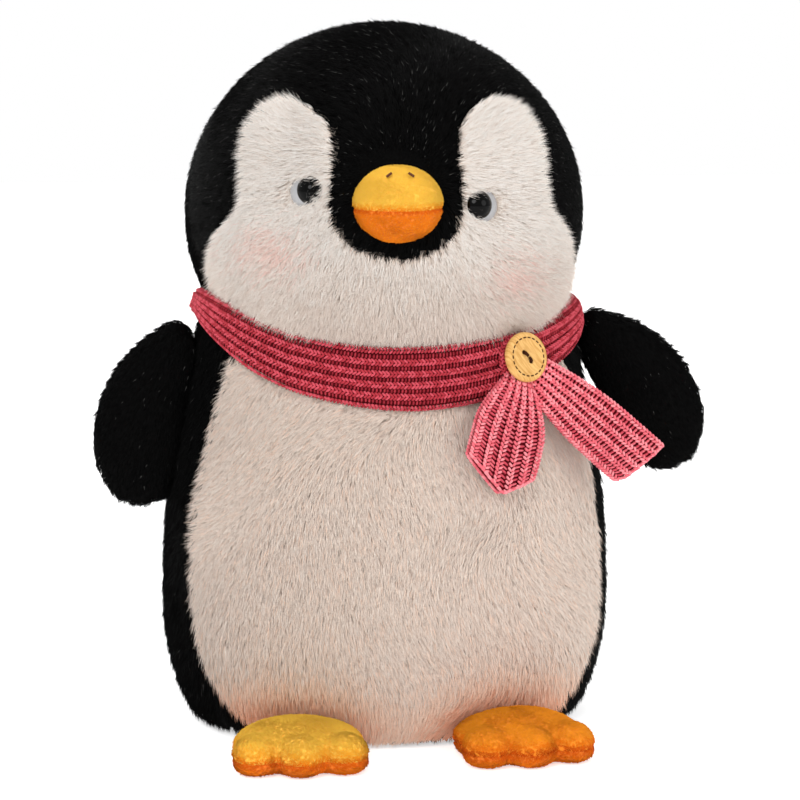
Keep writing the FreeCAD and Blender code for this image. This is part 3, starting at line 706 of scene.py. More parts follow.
def face_tone(points, rng):
    """White, darker towards the chin as painted shade, with a blush on each cheek."""
    # Lower strands take darker tones: painted shade under the chin.
    high = np.clip((points[:, 2] - 205 * MM) / (45 * MM), 0, 1)
    tip = np.clip(np.round(high * 1.6 + rng.normal(-0.1, 0.5, len(points))), 0, 2).astype(int)
    for side, drop in (("left", 33), ("right", 27)):
        sign = 1 if side == "left" else -1
        spot = eyes[side]["centre"] + np.array([sign * 14, 0, -drop]) * MM
        away = np.linalg.norm((points - spot)[:, [0, 2]] / np.array([13.0, 10.0]) / MM, axis=1)
        blush = rng.random(len(points)) < 0.75 * np.exp(-(away**2))
        tip = np.where(blush, rng.integers(3, 5, len(points)), tip)
    root = np.where(tip >= 3, tip, np.maximum(tip - 1, 0))
    return np.stack([root, tip], 1)


def head_surface(panel):
    points, corners = node_arrays(panel)
    return plump(points), outward_faces(points, corners, head_middle)


def torso_surface(panel):
    points, corners = node_arrays(panel)
    return points, outward_faces(points, corners, torso_axis)


face_look = Pile(5.4, 8.0 * MM, 0.27 * MM, 0.72, 0.15, clump=4, spread=1.4 * MM, shine=0.85)
hood_look = Pile(2.4, 5.5 * MM, 0.31 * MM, 0.40, 0.11, clump=4, spread=1.5 * MM, shine=0.5)
belly_look = Pile(4.0, 8.0 * MM, 0.29 * MM, 0.50, 0.11, clump=4, spread=1.5 * MM, shine=0.87)
back_look = Pile(1.7, 7.0 * MM, 0.36 * MM, 0.42, 0.13, clump=5, spread=1.6 * MM, shine=0.5)
# The fourth, pale tone of each is the painted glint: a few strands, more of them on the hood.
hood_tone = tones([0.40, 0.40, 0.186, 0.014])
black_tone = tones([0.42, 0.40, 0.177, 0.003])

grow("face_pile", head_surface("face_panel"), face_look, face_comb, face_tone, face_pile_tones,
     "head", "white_plush", 11, keep=head_keep, smooth_normal=head_normals)
for number, panel in enumerate(("hood_gusset", "hood_left_panel", "hood_right_panel")):
    grow(panel.replace("panel", "pile").replace("gusset", "gusset_pile"), head_surface(panel), hood_look,
         hood_comb, hood_tone, black_pile, "head", "black_plush", 21 + number, keep=head_keep,
         smooth_normal=head_normals)

# --- torso's pile --------------------------------------------------------------------------------


def belly_comb(points, normals):
    outwards = np.zeros_like(points)
    outwards[:, 0] = points[:, 0] / half_width.max() * 0.7
    return UP * -1.0 + outwards + swirl(points, 22 * MM, 5) * 0.55


def back_comb(points, normals):
    return UP * -1.0 + swirl(points, 30 * MM, 6) * 0.25


feet_x = {side: box_centre(f"{side}_foot_upper")[0] for side in ("left", "right")}


def belly_tone(points, rng):
    """White, with painted orange bounce light from the feet on the pile just above them."""
    tip = rng.choice(3, len(points), p=[0.3, 0.5, 0.2])
    for x in feet_x.values():
        above = np.maximum(points[:, 2] - 8 * MM, 0) / (24 * MM)
        away = ((points[:, 0] - x) / (46 * MM)) ** 2 + above**2
        # Painted bounce light: more orange the nearer a strand is to a foot.
        foot_bounce = 3.2 * np.exp(-away) + rng.normal(0, 0.35, len(points))
        tip = np.where(foot_bounce > 0.6, np.maximum(tip, 2 + np.clip(np.round(foot_bounce), 1, 3).astype(int)), tip)
    root = np.where(tip >= 3, tip, np.maximum(tip - 1, 0))
    return np.stack([root, tip], 1)


def torso_keep(points):
    """No pile under the scarf, on the neck, or where it would pass through the floor."""
    floor = np.clip(points[:, 2] / (9 * MM), 0.25, 1)
    return clear_of_scarf(points) * floor


grow("belly_pile", torso_surface("belly_panel"), belly_look, belly_comb, belly_tone, belly_tones_and_bounce,
     "torso", "white_plush", 31, keep=torso_keep, smooth_normal=torso_normals)
for number, side in enumerate(("left", "right")):
    grow(f"{side}_back_pile", torso_surface(f"{side}_back_panel"), back_look, back_comb, black_tone,
         black_pile, "torso", "black_plush", 41 + number, keep=torso_keep, smooth_normal=torso_normals)

# --- flippers ------------------------------------------------------------------------------------


def split_at(bag, name, place, normal, keep_above, material):
    """The part of a closed mesh on one side of a plane, closed again at the cut."""
    work = bmesh.new()
    work.from_mesh(bag.data)
    geometry = work.verts[:] + work.edges[:] + work.faces[:]
    cut = bmesh.ops.bisect_plane(work, geom=geometry, plane_co=place, plane_no=normal,
                                 clear_inner=keep_above, clear_outer=not keep_above)
    rim = [e for e in cut["geom_cut"] if isinstance(e, bmesh.types.BMEdge)]
    bmesh.ops.holes_fill(work, edges=rim)
    mesh = bpy.data.meshes.new(name)
    work.to_mesh(mesh)
    work.free()
    mesh.polygons.foreach_set("use_smooth", np.ones(len(mesh.polygons), bool))
    return add_object(name, mesh, [material])


def pinch(bag, axis, height, depth, width):
    """Draws a seam in, at a height along an axis (0 x, 1 y, 2 z)."""
    places = places_of(bag.data)
    near = np.exp(-(((places[:, axis] - height) / width) ** 2))
    move_to(bag.data, places - normals_of(bag.data) * (near * depth)[:, None])


for number, side in enumerate(("left", "right")):
    seam_y = box_centre(f"{side}_flipper_filling")[1]
    bag = stuffed_bag(f"{side}_flipper_bag", f"{side}_flipper_filling", 2.6 * MM, 3 * MM)
    inflate(bag, 1.5 * MM, lambda p: np.abs(p[:, 1] - seam_y) < 1.2 * MM)
    pinch(bag, 1, seam_y, 0.6 * MM, 1.5 * MM)
    joint = next(j for j in frame["joints"] if j["name"] == f"{side}_flipper_lift")
    root = np.array(joint["pos_m"])
    tip = node_arrays(f"{side}_flipper_filling")[0]
    tip = tip[np.argmax(np.linalg.norm(tip - root, axis=1))]
    down = unit(tip - root)
    centre = box_centre(f"{side}_flipper_filling")
    surface = mesh_arrays(bag.data)
    comb = lambda points, normals, down=down, centre=centre: (
        np.broadcast_to(down, points.shape) + unit(points - centre) * 0.2 + swirl(points, 25 * MM, 7) * 0.2
    )
    look = Pile(2.6, 4.0 * MM, 0.33 * MM, 0.36, 0.10, clump=4, spread=1.4 * MM, shine=0.5)
    grow(f"{side}_flipper_pile", surface, look, comb, black_tone, black_pile,
         f"{side}_flipper", "black_plush", 51 + number)
    for half, above in (("front", False), ("back", True)):
        skin = split_at(bag, f"{side}_flipper_{half}_skin", (0, seam_y, 0), (0, 1, 0), above, black_cloth)
        settle(skin, f"{side}_flipper", "black_plush", f"{side}_flipper_{half}")
    bpy.data.objects.remove(bag)

# --- feet ----------------------------------------------------------------------------------------


def radial_comb(centre):
    return lambda points, normals: unit(points - centre) + swirl(points, 9 * MM, 8) * 0.8


def velboa_tone(seam, reach, upper, warmth=0.0):
    """Yellow above the seam and orange below it, each deepening smoothly towards the seam."""

    def choose(points, rng):
        near = np.exp(-((np.abs(points[:, 2] - seam) / reach) ** 1.4))
        middle = (5.1 - 3.0 * near if upper else 2.3 - 1.3 * near) - warmth
        shade = middle + rng.normal(0, 0.17, len(points))
        tip = np.clip(np.round(shade), 0, len(VELBOA_TONES) - 1).astype(int)
        return np.stack([tip, tip], 1)

    return choose


def without_cut(mesh):
    """A skin's surface but for its level faces, where it was cut at the seam."""
    points, corners = mesh_arrays(mesh)
    level = np.ptp(points[corners][:, :, 2], axis=1) < 0.02 * MM
    return points, corners[~level]


velboa = Pile(5.0, 1.5 * MM, 0.32 * MM, 0.5, 0.16, clump=3, spread=0.8 * MM, shine=0.9)

for number, side in enumerate(("left", "right")):
    seam_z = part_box(f"{side}_foot_upper")[0].z
    bag = stuffed_bag(f"{side}_foot_bag", f"{side}_foot_filling", 1.6 * MM, 2.2 * MM)
    inflate(bag, 2.2 * MM, lambda p: np.abs(p[:, 2] - seam_z) < 1.2 * MM)
    pinch(bag, 2, seam_z, 1.0 * MM, 1.4 * MM)
    places = places_of(bag.data)
    places[:, 2] = np.maximum(places[:, 2], 0.3 * MM)
    move_to(bag.data, places)
    centre = box_centre(f"{side}_foot_filling") + np.array([0, 12, 6]) * MM
    # The two feet are of different dye lots.
    warmth, top_cloth = (2.0, amber_cloth) if side == "left" else (0.2, yellow_cloth)
    halves = (("upper", True, top_cloth, "yellow_plush"), ("sole", False, orange_cloth, "orange_plush"))
    for half, above, cloth, slot in halves:
        skin = split_at(bag, f"{side}_foot_{half}_skin", (0, 0, seam_z), (0, 0, 1), above, cloth)
        settle(skin, f"{side}_foot", slot, f"{side}_foot_{half}")
        grow(f"{side}_foot_{half}_pile", without_cut(skin.data), velboa, radial_comb(centre),
             velboa_tone(seam_z, 4 * MM, above, warmth * above), velboa_pile, f"{side}_foot", slot,
             61 + 2 * number + above)
    bpy.data.objects.remove(bag)

# --- beak ----------------------------------------------------------------------------------------

seam_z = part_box("beak_upper")[0].z
bag = stuffed_bag("beak_bag", "beak_filling", 1.6 * MM, 1.8 * MM)
# Behind this the beak is sewn to the face.
BEAK_ROOT_Y = -84 * MM
inflate(bag, 0.8 * MM, lambda p: (np.abs(p[:, 2] - seam_z) < 1.0 * MM) | (p[:, 1] > BEAK_ROOT_Y))
pinch(bag, 2, seam_z, 0.9 * MM, 1.3 * MM)
centre = box_centre("beak_filling")
short = Pile(8.0, 1.1 * MM, 0.26 * MM, 0.5, 0.16, clump=3, spread=0.6 * MM, shine=0.92)
halves = (("upper", True, yellow_cloth, "yellow_plush"), ("lower", False, orange_cloth, "orange_plush"))
for half, above, cloth, slot in halves:
    skin = split_at(bag, f"beak_{half}_skin", (0, 0, seam_z), (0, 0, 1), above, cloth)
    settle(skin, "head", slot, f"beak_{half}")
    grow(f"beak_{half}_pile", without_cut(skin.data), short, radial_comb(centre),
         velboa_tone(seam_z, 2.2 * MM, above), velboa_pile, "head", slot, 71 + above)
bpy.data.objects.remove(bag)

# --- turned pieces: eyes and button --------------------------------------------------------------


def frame_matrix(centre, x, z):
    """A placement whose local Z is z and whose local X lies as near x as it can."""
    z = unit(np.array(z, float))
    x = unit(np.array(x, float) - z * np.dot(x, z))
    y = np.cross(z, x)
    matrix = Matrix.Identity(4)
    for column, axis in enumerate((x, y, z, centre)):
        for row in range(3):
            matrix[row][column] = axis[row]
    return matrix


def turned(name, profile, material, steps=72):
    """A closed solid turned about local Z from (radius, height) points, first and last on the axis."""
    points, rings = [], []
    for radius, height in profile:
        if radius < 1e-9:
            rings.append([len(points)])
            points.append((0, 0, height))
            continue
        rings.append(list(range(len(points), len(points) + steps)))
        for i in range(steps):
            angle = 2 * math.pi * i / steps
            points.append((radius * math.cos(angle), radius * math.sin(angle), height))
    faces = []
    for lower, upper in zip(rings, rings[1:]):
        for i in range(steps):
            j = (i + 1) % steps
            if len(lower) == 1:
                faces.append((lower[0], upper[j], upper[i]))
            elif len(upper) == 1:
                faces.append((lower[i], lower[j], upper[0]))
            else:
                faces.append((lower[i], lower[j], upper[j], upper[i]))
    return add_object(name, mesh_from(name, points, faces), [material])


def dome(radius, rise, foot, steps=14):
    """Profile of a domed disc: flat back at foot, a rounded rim, a cap that rises to rise."""
    ball = (radius**2 + rise**2) / (2 * rise)
    profile = [(0, foot), (radius * 0.97, foot), (radius, foot * 0.6)]
    for i in range(steps + 1):
        r = radius * (1 - i / steps)
        profile.append((r, rise - ball + math.sqrt(ball**2 - r**2)))
    return profile


def glossy(name, colour, roughness, coat, specular):
    """Moulded plastic, with a coat of its own or none."""
    material, nodes, _ = new_material(name)
    shader = nodes["Principled BSDF"]
    shader.inputs["Base Color"].default_value = (*colour, 1)
    shader.inputs["Roughness"].default_value = roughness
    shader.inputs["Coat Weight"].default_value = coat
    shader.inputs["Specular IOR Level"].default_value = specular
    shader.inputs["Coat Roughness"].default_value = 0.03
    return material


PUPIL_SHIFT = 1.9 * MM
eye_black = glossy("eye_black", linear(2, 2, 2), 0.04, 0.0, 0.12)
eye_white = glossy("eye_white", linear(168, 168, 170), 0.25, 0.3, 0.4)

for side in ("left", "right"):
    eye = eyes[side]
    place = frame_matrix(eye["centre"], (1, 0, 0), eye["axis"])
    rise = (node_arrays(f"{side}_eye_white")[0] - eye["centre"]) @ eye["axis"]
    white = turned(f"{side}_eye_cup", dome(eye["radius"], rise.max(), -0.8 * MM), eye_white)
    white.matrix_world = place
    settle(white, "head", "eye_white", f"{side}_eye_white")
    pupil = node_arrays(f"{side}_eye_pupil")[0]
    centre, _ = principal_axes(pupil)
    height = (pupil - eye["centre"]) @ eye["axis"]
    flat = centre - eye["axis"] * np.dot(centre - eye["centre"], eye["axis"])
    inwards = np.array([-1.0 if side == "left" else 1.0, 0, 0])
    foot = flat + eye["axis"] * (height.min() - 0.4 * MM) + inwards * PUPIL_SHIFT
    wide = np.linalg.norm(pupil - flat - height[:, None] * eye["axis"], axis=1).max()
    black = turned(f"{side}_eye_dome", dome(wide * 1.04, np.ptp(height) * 1.1, -0.6 * MM), eye_black)
    black.matrix_world = frame_matrix(foot, (1, 0, 0), eye["axis"])
    settle(black, "head", "eye_black", f"{side}_eye_pupil")

# --- knitting ------------------------------------------------------------------------------------

SIDES, RINGS = 6, 4


def bead_template():
    """One leg of a stitch: a plump bead of yarn, unit long, thinner at its ends."""
    points, faces = [(-0.5, 0, 0)], []
    for ring in range(1, RINGS):
        turn = math.pi * ring / RINGS
        for i in range(SIDES):
            angle = 2 * math.pi * i / SIDES
            wide = math.sin(turn) ** 0.7 / 2
            points.append((-0.5 * math.cos(turn), wide * math.cos(angle), wide * math.sin(angle)))
    points.append((0.5, 0, 0))
    last = len(points) - 1
    for i in range(SIDES):
        j = (i + 1) % SIDES
        faces.append((0, 1 + j, 1 + i))
        for ring in range(RINGS - 2):
            a, b = 1 + ring * SIDES, 1 + (ring + 1) * SIDES
            faces.append((a + i, a + j, b + j, b + i))
        faces.append((last, last - SIDES + i, last - SIDES + j))
    return np.array(points), faces


BEAD, BEAD_FACES = bead_template()


def knit_mesh(name, centres, along, normals, sizes, yarn_tone_index, materials):
    """Beads of yarn placed at centres, each lying along a direction on a surface's normal."""
    along = unit(along - normals * np.einsum("ij,ij->i", along, normals)[:, None])
    across = np.cross(normals, along)
    shape = BEAD[None] * sizes[:, None]
    points = (centres[:, None] + along[:, None] * shape[..., :1] + across[:, None] * shape[..., 1:2]
              + normals[:, None] * shape[..., 2:])
    per = len(BEAD)
    quads = np.array([f for f in BEAD_FACES if len(f) == 4])
    threes = np.array([f for f in BEAD_FACES if len(f) == 3])
    base = (np.arange(len(centres)) * per)[:, None, None]
    loops = np.concatenate([(quads[None] + base).reshape(len(centres), -1),
                            (threes[None] + base).reshape(len(centres), -1)], 1).ravel()
    sizes_of = np.array([4] * len(quads) + [3] * len(threes))
    offsets = np.concatenate([[0], np.cumsum(sizes_of)[:-1]])
    starts = (offsets[None] + np.arange(len(centres))[:, None] * sizes_of.sum()).ravel()
    mesh = bpy.data.meshes.new(name)
    mesh.vertices.add(points.shape[0] * per)
    mesh.vertices.foreach_set("co", points.ravel())
    mesh.loops.add(len(loops))
    mesh.loops.foreach_set("vertex_index", loops.astype(np.int32))
    mesh.polygons.add(len(starts))
    mesh.polygons.foreach_set("loop_start", starts.astype(np.int32))
    mesh.polygons.foreach_set("material_index", np.repeat(yarn_tone_index, len(sizes_of)).astype(np.int32))
    mesh.polygons.foreach_set("use_smooth", np.ones(len(starts), bool))
    mesh.update(calc_edges=True)
    return add_object(name, mesh, materials)


def knit(name, surface, wales, rows, leg, rng, shades, height=0.9 * MM, cast_off=False):
    """Rib stitch over surface(u, v) -> (places, normals): u runs along the scarf and v across it.

    Each wale is a raised chain of small Vs, and between two chains lie rungs of yarn in the groove.
    """
    edge = 0.14 / wales
    du, dv = 1 / rows, (1 - 2 * edge) / (wales - 1)
    u, v = np.meshgrid((np.arange(rows) + 0.5) * du, edge + np.arange(wales) * dv, indexing="ij")
    u, v = u.ravel(), v.ravel()
    parts = []
    for side in (-1, 1):
        uu = u + rng.normal(0, 0.04, len(u)) * du
        vv = v + side * 0.13 * dv
        place, normal = surface(uu, vv)
        ahead, _ = surface(uu + 0.5 * du, vv - side * 0.13 * dv)
        behind, _ = surface(uu - 0.5 * du, vv + side * 0.13 * dv)
        parts.append((place + normal * height, ahead - behind, normal, (leg[0], leg[1], leg[2]), 1))
    inner = v < 1 - 1.5 * edge
    uu = u[inner] + rng.normal(0, 0.06, inner.sum()) * du
    vv = v[inner] + 0.5 * dv
    place, normal = surface(uu, vv)
    ahead, _ = surface(uu + 0.12 * du, vv + 0.36 * dv)
    behind, _ = surface(uu - 0.12 * du, vv - 0.36 * dv)
    rung = np.linalg.norm(ahead - behind, axis=1).mean()
    parts.append((place, ahead - behind, normal, (rung, leg[1] * 0.85, leg[2]), 0))
    if cast_off:
        vv = (np.arange(3 * wales) + 0.5) / (3 * wales)
        place, normal = surface(np.full(len(vv), 1 - 0.3 * du), vv)
        ahead, _ = surface(np.full(len(vv), 1 - 0.3 * du), vv + 0.6 / (3 * wales))
        behind, _ = surface(np.full(len(vv), 1 - 0.3 * du), vv - 0.6 / (3 * wales))
        long = np.linalg.norm(ahead - behind, axis=1).mean() * 1.2
        loop = (long, leg[1] * 1.2, leg[2] * 1.3)
        parts.append((place + normal * height * 0.6, ahead - behind, normal, loop, 1))
    centres, directions, normals = (np.concatenate([p[i] for p in parts]) for i in range(3))
    sizes = np.concatenate([np.tile(p[3], (len(p[0]), 1)) for p in parts])
    raised = np.concatenate([np.full(len(p[0]), p[4]) for p in parts])
    count = len(centres)
    sizes = sizes * rng.uniform(0.93, 1.07, (count, 3))
    # Raised legs take one shade lighter than rungs in the groove: painted shade in the grooves.
    yarn_tone_index = np.array(shades)[rng.choice(2, count, p=[0.5, 0.5]) + raised]
    return knit_mesh(name, centres, directions, normals, sizes, yarn_tone_index, yarn)


def grid_solid(name, surface, back, columns, rows, closed, material):
    """A solid between a surface and its back, both functions of (u, v); closed joins u = 1 to u = 0."""
    round_it = np.linspace(0, 1, columns, endpoint=not closed)
    u, v = np.meshgrid(round_it, np.linspace(0, 1, rows), indexing="ij")
    top, bottom = surface(u.ravel(), v.ravel())[0], back(u.ravel(), v.ravel())
    points = np.concatenate([top, bottom])
    shift = columns * rows
    faces = []
    spans = columns if closed else columns - 1
    at = lambda i, j: (i % columns) * rows + j
    for i in range(spans):
        for j in range(rows - 1):
            quad = (at(i, j), at(i + 1, j), at(i + 1, j + 1), at(i, j + 1))
            faces.append(quad)
            faces.append(tuple(shift + k for k in reversed(quad)))
        for j, flip in ((0, 1), (rows - 1, -1)):
            rim = (at(i, j), shift + at(i, j), shift + at(i + 1, j), at(i + 1, j))
            faces.append(rim[::flip])
    if not closed:
        for i, flip in ((0, -1), (columns - 1, 1)):
            for j in range(rows - 1):
                rim = (at(i, j), shift + at(i, j), shift + at(i, j + 1), at(i, j + 1))
                faces.append(rim[::flip])
    piece = add_object(name, mesh_from(name, points, faces), [material])
    work = bmesh.new()
    work.from_mesh(piece.data)
    bmesh.ops.recalc_face_normals(work, faces=work.faces)
    work.to_mesh(piece.data)
    work.free()
    return piece


BAND_RIBS = 6
STITCH = 2.1 * MM
BAND_LEG = np.array([2.9, 1.25, 1.5]) * MM


class BandSurface:
    """The scarf's band as a soft strip: bearing u, height v, raised ribs and a few lengthwise folds."""

    def __init__(self, table=360, across=25):
        bearings = np.linspace(0, 2 * math.pi, table, endpoint=False)
        low, high = band.edges(bearings)
        reach = np.zeros((table, across))
        for i, bearing in enumerate(bearings):
            last = None
            for j in range(across):
                z = low[i] + (high[i] - low[i]) * (0.06 + 0.88 * j / (across - 1))
                found = band.hit(bearing, z)
                if found is not None:
                    last = math.hypot(found[0].x - torso_middle[0], found[0].y - torso_middle[1])
                reach[i, j] = last if last is not None else np.nan
            row = reach[i]
            row[np.isnan(row)] = np.nanmean(row)
        self.bearings, self.low, self.high, self.reach = bearings, low, high, reach

    def radius(self, bearing, v):
        count, across = self.reach.shape
        i = (bearing / (2 * math.pi) * count) % count
        j = np.clip(v, 0, 1) * (across - 1)
        i0, j0 = np.floor(i).astype(int), np.minimum(np.floor(j).astype(int), across - 2)
        a, b, i1 = i - i0, j - j0, (np.floor(i).astype(int) + 1) % count
        i0 = i0 % count
        near = self.reach[i0, j0] * (1 - b) + self.reach[i0, j0 + 1] * b
        far = self.reach[i1, j0] * (1 - b) + self.reach[i1, j0 + 1] * b
        return near * (1 - a) + far * a

    def point(self, u, v, stand=0.0):
        bearing = u * 2 * math.pi
        low = np.interp(bearing, self.bearings, self.low, period=2 * math.pi)
        high = np.interp(bearing, self.bearings, self.high, period=2 * math.pi)
        margin = 0.04
        z = low + (high - low) * (margin + (1 - 2 * margin) * v)
        edge = np.abs(2 * v - 1)
        rib = 0.35 * np.abs(np.cos((BAND_RIBS - 1) * math.pi * v))
        fold = 0.9 * np.sin(3 * bearing + 4 * v + 1.0) * np.sin(math.pi * v)
        puff = 1.1 * (1 - edge**4) - 1.4 * np.maximum(edge - 0.86, 0) / 0.14
        # A crease that the knot pulls into the band on either side of it.
        turn = (bearing - KNOT_BEARING + math.pi) % (2 * math.pi) - math.pi
        puff = puff - 2.0 * np.exp(-(((v - 0.52) / 0.09) ** 2)) * np.exp(-((turn / 0.55) ** 2))
        z = z + 0.8 * MM * np.sin(4 * bearing + 0.7) * (v - 0.3)
        r = self.radius(bearing, v) + (rib + fold * 0.5 + puff) * MM + stand
        x, y = torso_middle[0] + r * np.sin(bearing), torso_middle[1] - r * np.cos(bearing)
        return np.stack([x, y, z], -1)

    def __call__(self, u, v):
        step_u, step_v = 0.002, 0.02
        du = self.point(u + step_u, v) - self.point(u - step_u, v)
        dv = self.point(u, v + step_v) - self.point(u, v - step_v)
        return self.point(u, v), unit(np.cross(du, dv))

    def back(self, u, v):
        place = self.point(u, 0.03 + 0.94 * v)
        inwards = np.zeros_like(place)
        inwards[:, 0] = torso_middle[0] - place[:, 0]
        inwards[:, 1] = torso_middle[1] - place[:, 1]
        return place + unit(inwards) * 4.6 * MM


knot_middle = box_centre("scarf_knot")
KNOT_BEARING = math.atan2(knot_middle[0] - torso_middle[0], torso_middle[1] - knot_middle[1])
band_surface = BandSurface()
rng = np.random.default_rng(81)
band_front = lambda u, v: (band_surface.point(u, 0.03 + 0.94 * v, -0.6 * MM), None)
band_core = grid_solid("scarf_band_core", band_front, band_surface.back, 240, 13, True, knit_shadow)
settle(band_core, "torso", "knit", "scarf_band")
band_rows = int(2 * math.pi * (half_width.max() - 2 * MM) / STITCH)
band_knit = knit("scarf_band_knit", band_surface, BAND_RIBS, band_rows, BAND_LEG, rng, (0, 1, 2), 0.7 * MM)
settle(band_knit, "torso", "knit")


# The share of a tail's length that lies under the button.
TUCK = 0.12


class TailSurface:
    """One tail of the scarf: a strip from under the button, widening, with a soft curl and a shaped end."""

    def __init__(self, side):
        points = node_arrays(f"{side}_scarf_tail")[0]
        centre, axes = principal_axes(points)
        along, across, out = axes
        if np.dot(out, centre - np.array([*torso_middle, centre[2]])) < 0:
            out = -out
        if along[2] > 0:
            along = -along
        across = np.cross(out, along)
        place = points - centre
        s, t, h = place @ along, place @ across, place @ out
        self.start = centre + along * s.min() + across * (t.max() + t.min()) / 2
        self.start = self.start + out * (h.min() + h.max()) / 2
        self.thick = np.ptp(h)
        near = np.abs(s - s.min()) < 1 * MM
        if side == "left":
            lean, stretch, widen, self.twist = 0.05, 1.07, 1.0, 0.10
            self.end = lambda v: 1 + 0.09 * (v - 0.5) - 0.25 * np.clip(0.12 - v, 0, 1)
        else:
            lean, stretch, widen, self.twist = -0.04, 1.04, 1.30, -0.16
            self.end = lambda v: 1 - 0.28 * np.where(v < 0.55, 0.55 - v, 0.95 * (v - 0.55)) ** 1.1 / 0.55
        self.length = np.ptp(s) * stretch
        self.narrow, self.wide = np.ptp(t[near]) * 1.1, np.ptp(t) * widen
        self.along = unit(along + across * lean)
        self.across, self.out = np.cross(out, self.along), out

    def point(self, u, v, lift=0.5):
        # The first part lies under the button.
        reach = u * (1 + TUCK) - TUCK
        opened = np.sin(np.clip(reach / 0.6, -0.15, 1) * math.pi / 2)
        width = self.narrow + (self.wide - self.narrow) * opened
        x = (v - 0.5) * width
        edge = np.abs(2 * v - 1)
        curl = 1.6 * np.sin(math.pi * np.clip(reach, 0, 1)) - 1.2 * reach
        curl = curl - 3.0 * np.clip(-reach, 0, 1) / TUCK
        crown = 0.9 * (1 - edge**2) + 0.30 * np.abs(np.cos((BAND_RIBS - 1) * math.pi * v))
        wave = 0.8 * np.sin(5.2 * reach + 3 * v)
        turn = self.twist * (reach - 0.3)
        height = (curl + crown + wave - 0.8) * MM + x * turn + lift * self.thick * (1 - 0.5 * edge**6)
        s = reach * self.length * np.where(reach > 0, self.end(np.clip(v, 0, 1)), 1.0)
        return self.start + s[:, None] * self.along + x[:, None] * self.across + height[:, None] * self.out

    def face(self, lift):
        sign = 1 if lift > 0 else -1

        def surface(u, v):
            du = self.point(u + 0.01, v, lift) - self.point(u - 0.01, v, lift)
            dv = self.point(u, v + 0.02, lift) - self.point(u, v - 0.02, lift)
            return self.point(u, v, lift), unit(np.cross(du, dv)) * sign

        return surface


for side in ("left", "right"):
    tail = TailSurface(side)
    inset = lambda v: 0.04 + 0.92 * v
    core = grid_solid(f"{side}_tail_core", lambda u, v: (tail.point(u * 0.985, inset(v), 0.30), None),
                      lambda u, v: tail.point(u * 0.985, inset(v), -0.30), 30, 13, False, knit_shadow)
    settle(core, f"{side}_tail", "knit", f"{side}_scarf_tail")
    leg = BAND_LEG * np.array([1.0, 1.15, 1.1])
    rows = int(tail.length * (1 + TUCK) / STITCH)
    for label, lift in (("front", 0.45), ("back", -0.45)):
        stitches = knit(f"{side}_tail_{label}_knit", tail.face(lift), BAND_RIBS, rows, leg, rng, (2, 3, 4),
                        cast_off=True)
        settle(stitches, f"{side}_tail", "knit")

# --- button --------------------------------------------------------------------------------------

button_points = node_arrays("scarf_button")[0]
button_centre, button_axes = principal_axes(button_points)
button_out = button_axes[2] if button_axes[2][1] < 0 else -button_axes[2]
holes_along = principal_axes(node_arrays("button_thread")[0])[1][0]
button_place = frame_matrix(button_centre, holes_along, button_out)
heights = (button_points - button_centre) @ button_out
radii = np.linalg.norm(button_points - button_centre - heights[:, None] * button_out, axis=1)
BUTTON_R, BUTTON_T = radii.max() * 1.04, np.ptp(heights)
HOLE_GAP, HOLE_R = 2.9 * MM, 1.15 * MM


def wood():
    """Pale turned wood with a stretched grain."""
    material, nodes, links = new_material("button_wood")
    shader = nodes["Principled BSDF"]
    shader.inputs["Roughness"].default_value = 0.6
    shader.inputs["Specular IOR Level"].default_value = 0.2
    coordinates = nodes.new("ShaderNodeTexCoord")
    mapping = nodes.new("ShaderNodeMapping")
    mapping.inputs["Scale"].default_value = (1, 7, 1)
    mapping.inputs["Rotation"].default_value = (0, 0, 0.5)
    grain = nodes.new("ShaderNodeTexNoise")
    grain.inputs["Scale"].default_value = 170
    grain.inputs["Detail"].default_value = 6
    ramp = nodes.new("ShaderNodeValToRGB")
    ramp.color_ramp.elements[0].position = 0.3
    ramp.color_ramp.elements[0].color = (*linear(198, 142, 72), 1)
    ramp.color_ramp.elements[1].position = 0.7
    ramp.color_ramp.elements[1].color = (*linear(236, 190, 118), 1)
    links.new(coordinates.outputs["Object"], mapping.inputs["Vector"])
    links.new(mapping.outputs["Vector"], grain.inputs["Vector"])
    links.new(grain.outputs["Fac"], ramp.inputs["Fac"])
    links.new(ramp.outputs["Color"], shader.inputs["Base Color"])
    return material


def button_profile():
    """Rounded rim, raised lip and a shallow dish."""
    r, half = BUTTON_R, BUTTON_T / 2
    profile = [(0, -half), (r * 0.85, -half)]
    for i in range(9):
        turn = -math.pi / 2 + math.pi * i / 8
        profile.append((r * 0.87 + r * 0.13 * math.cos(turn), half * math.sin(turn)))
    profile += [(r * 0.74, half), (r * 0.66, half * 0.86), (r * 0.58, half * 0.70), (r * 0.3, half * 0.68),
                (0, half * 0.68)]
    return profile


button_wood = wood()
button = turned("button", button_profile(), button_wood, 96)
for side in (-1, 1):
    rod = [(0, -BUTTON_T), (HOLE_R, -BUTTON_T), (HOLE_R, BUTTON_T), (0, BUTTON_T)]
    drill = turned("drill", rod, fibre, 24)
    drill.location = (side * HOLE_GAP, 0, 0)
    cutter = button.modifiers.new("hole", "BOOLEAN")
    cutter.object, cutter.solver = drill, "EXACT"
    bpy.context.view_layer.update()
    apply_modifiers(button)
    bpy.data.objects.remove(drill)
finish_with(button.data, button_wood)
for polygon in button.data.polygons:
    polygon.material_index = 0
button.data.polygons.foreach_set("use_smooth", np.ones(len(button.data.polygons), bool))
button.data.set_sharp_from_angle(angle=math.radians(40))
button.matrix_world = button_place
settle(button, "button", "button_wood", "scarf_button")


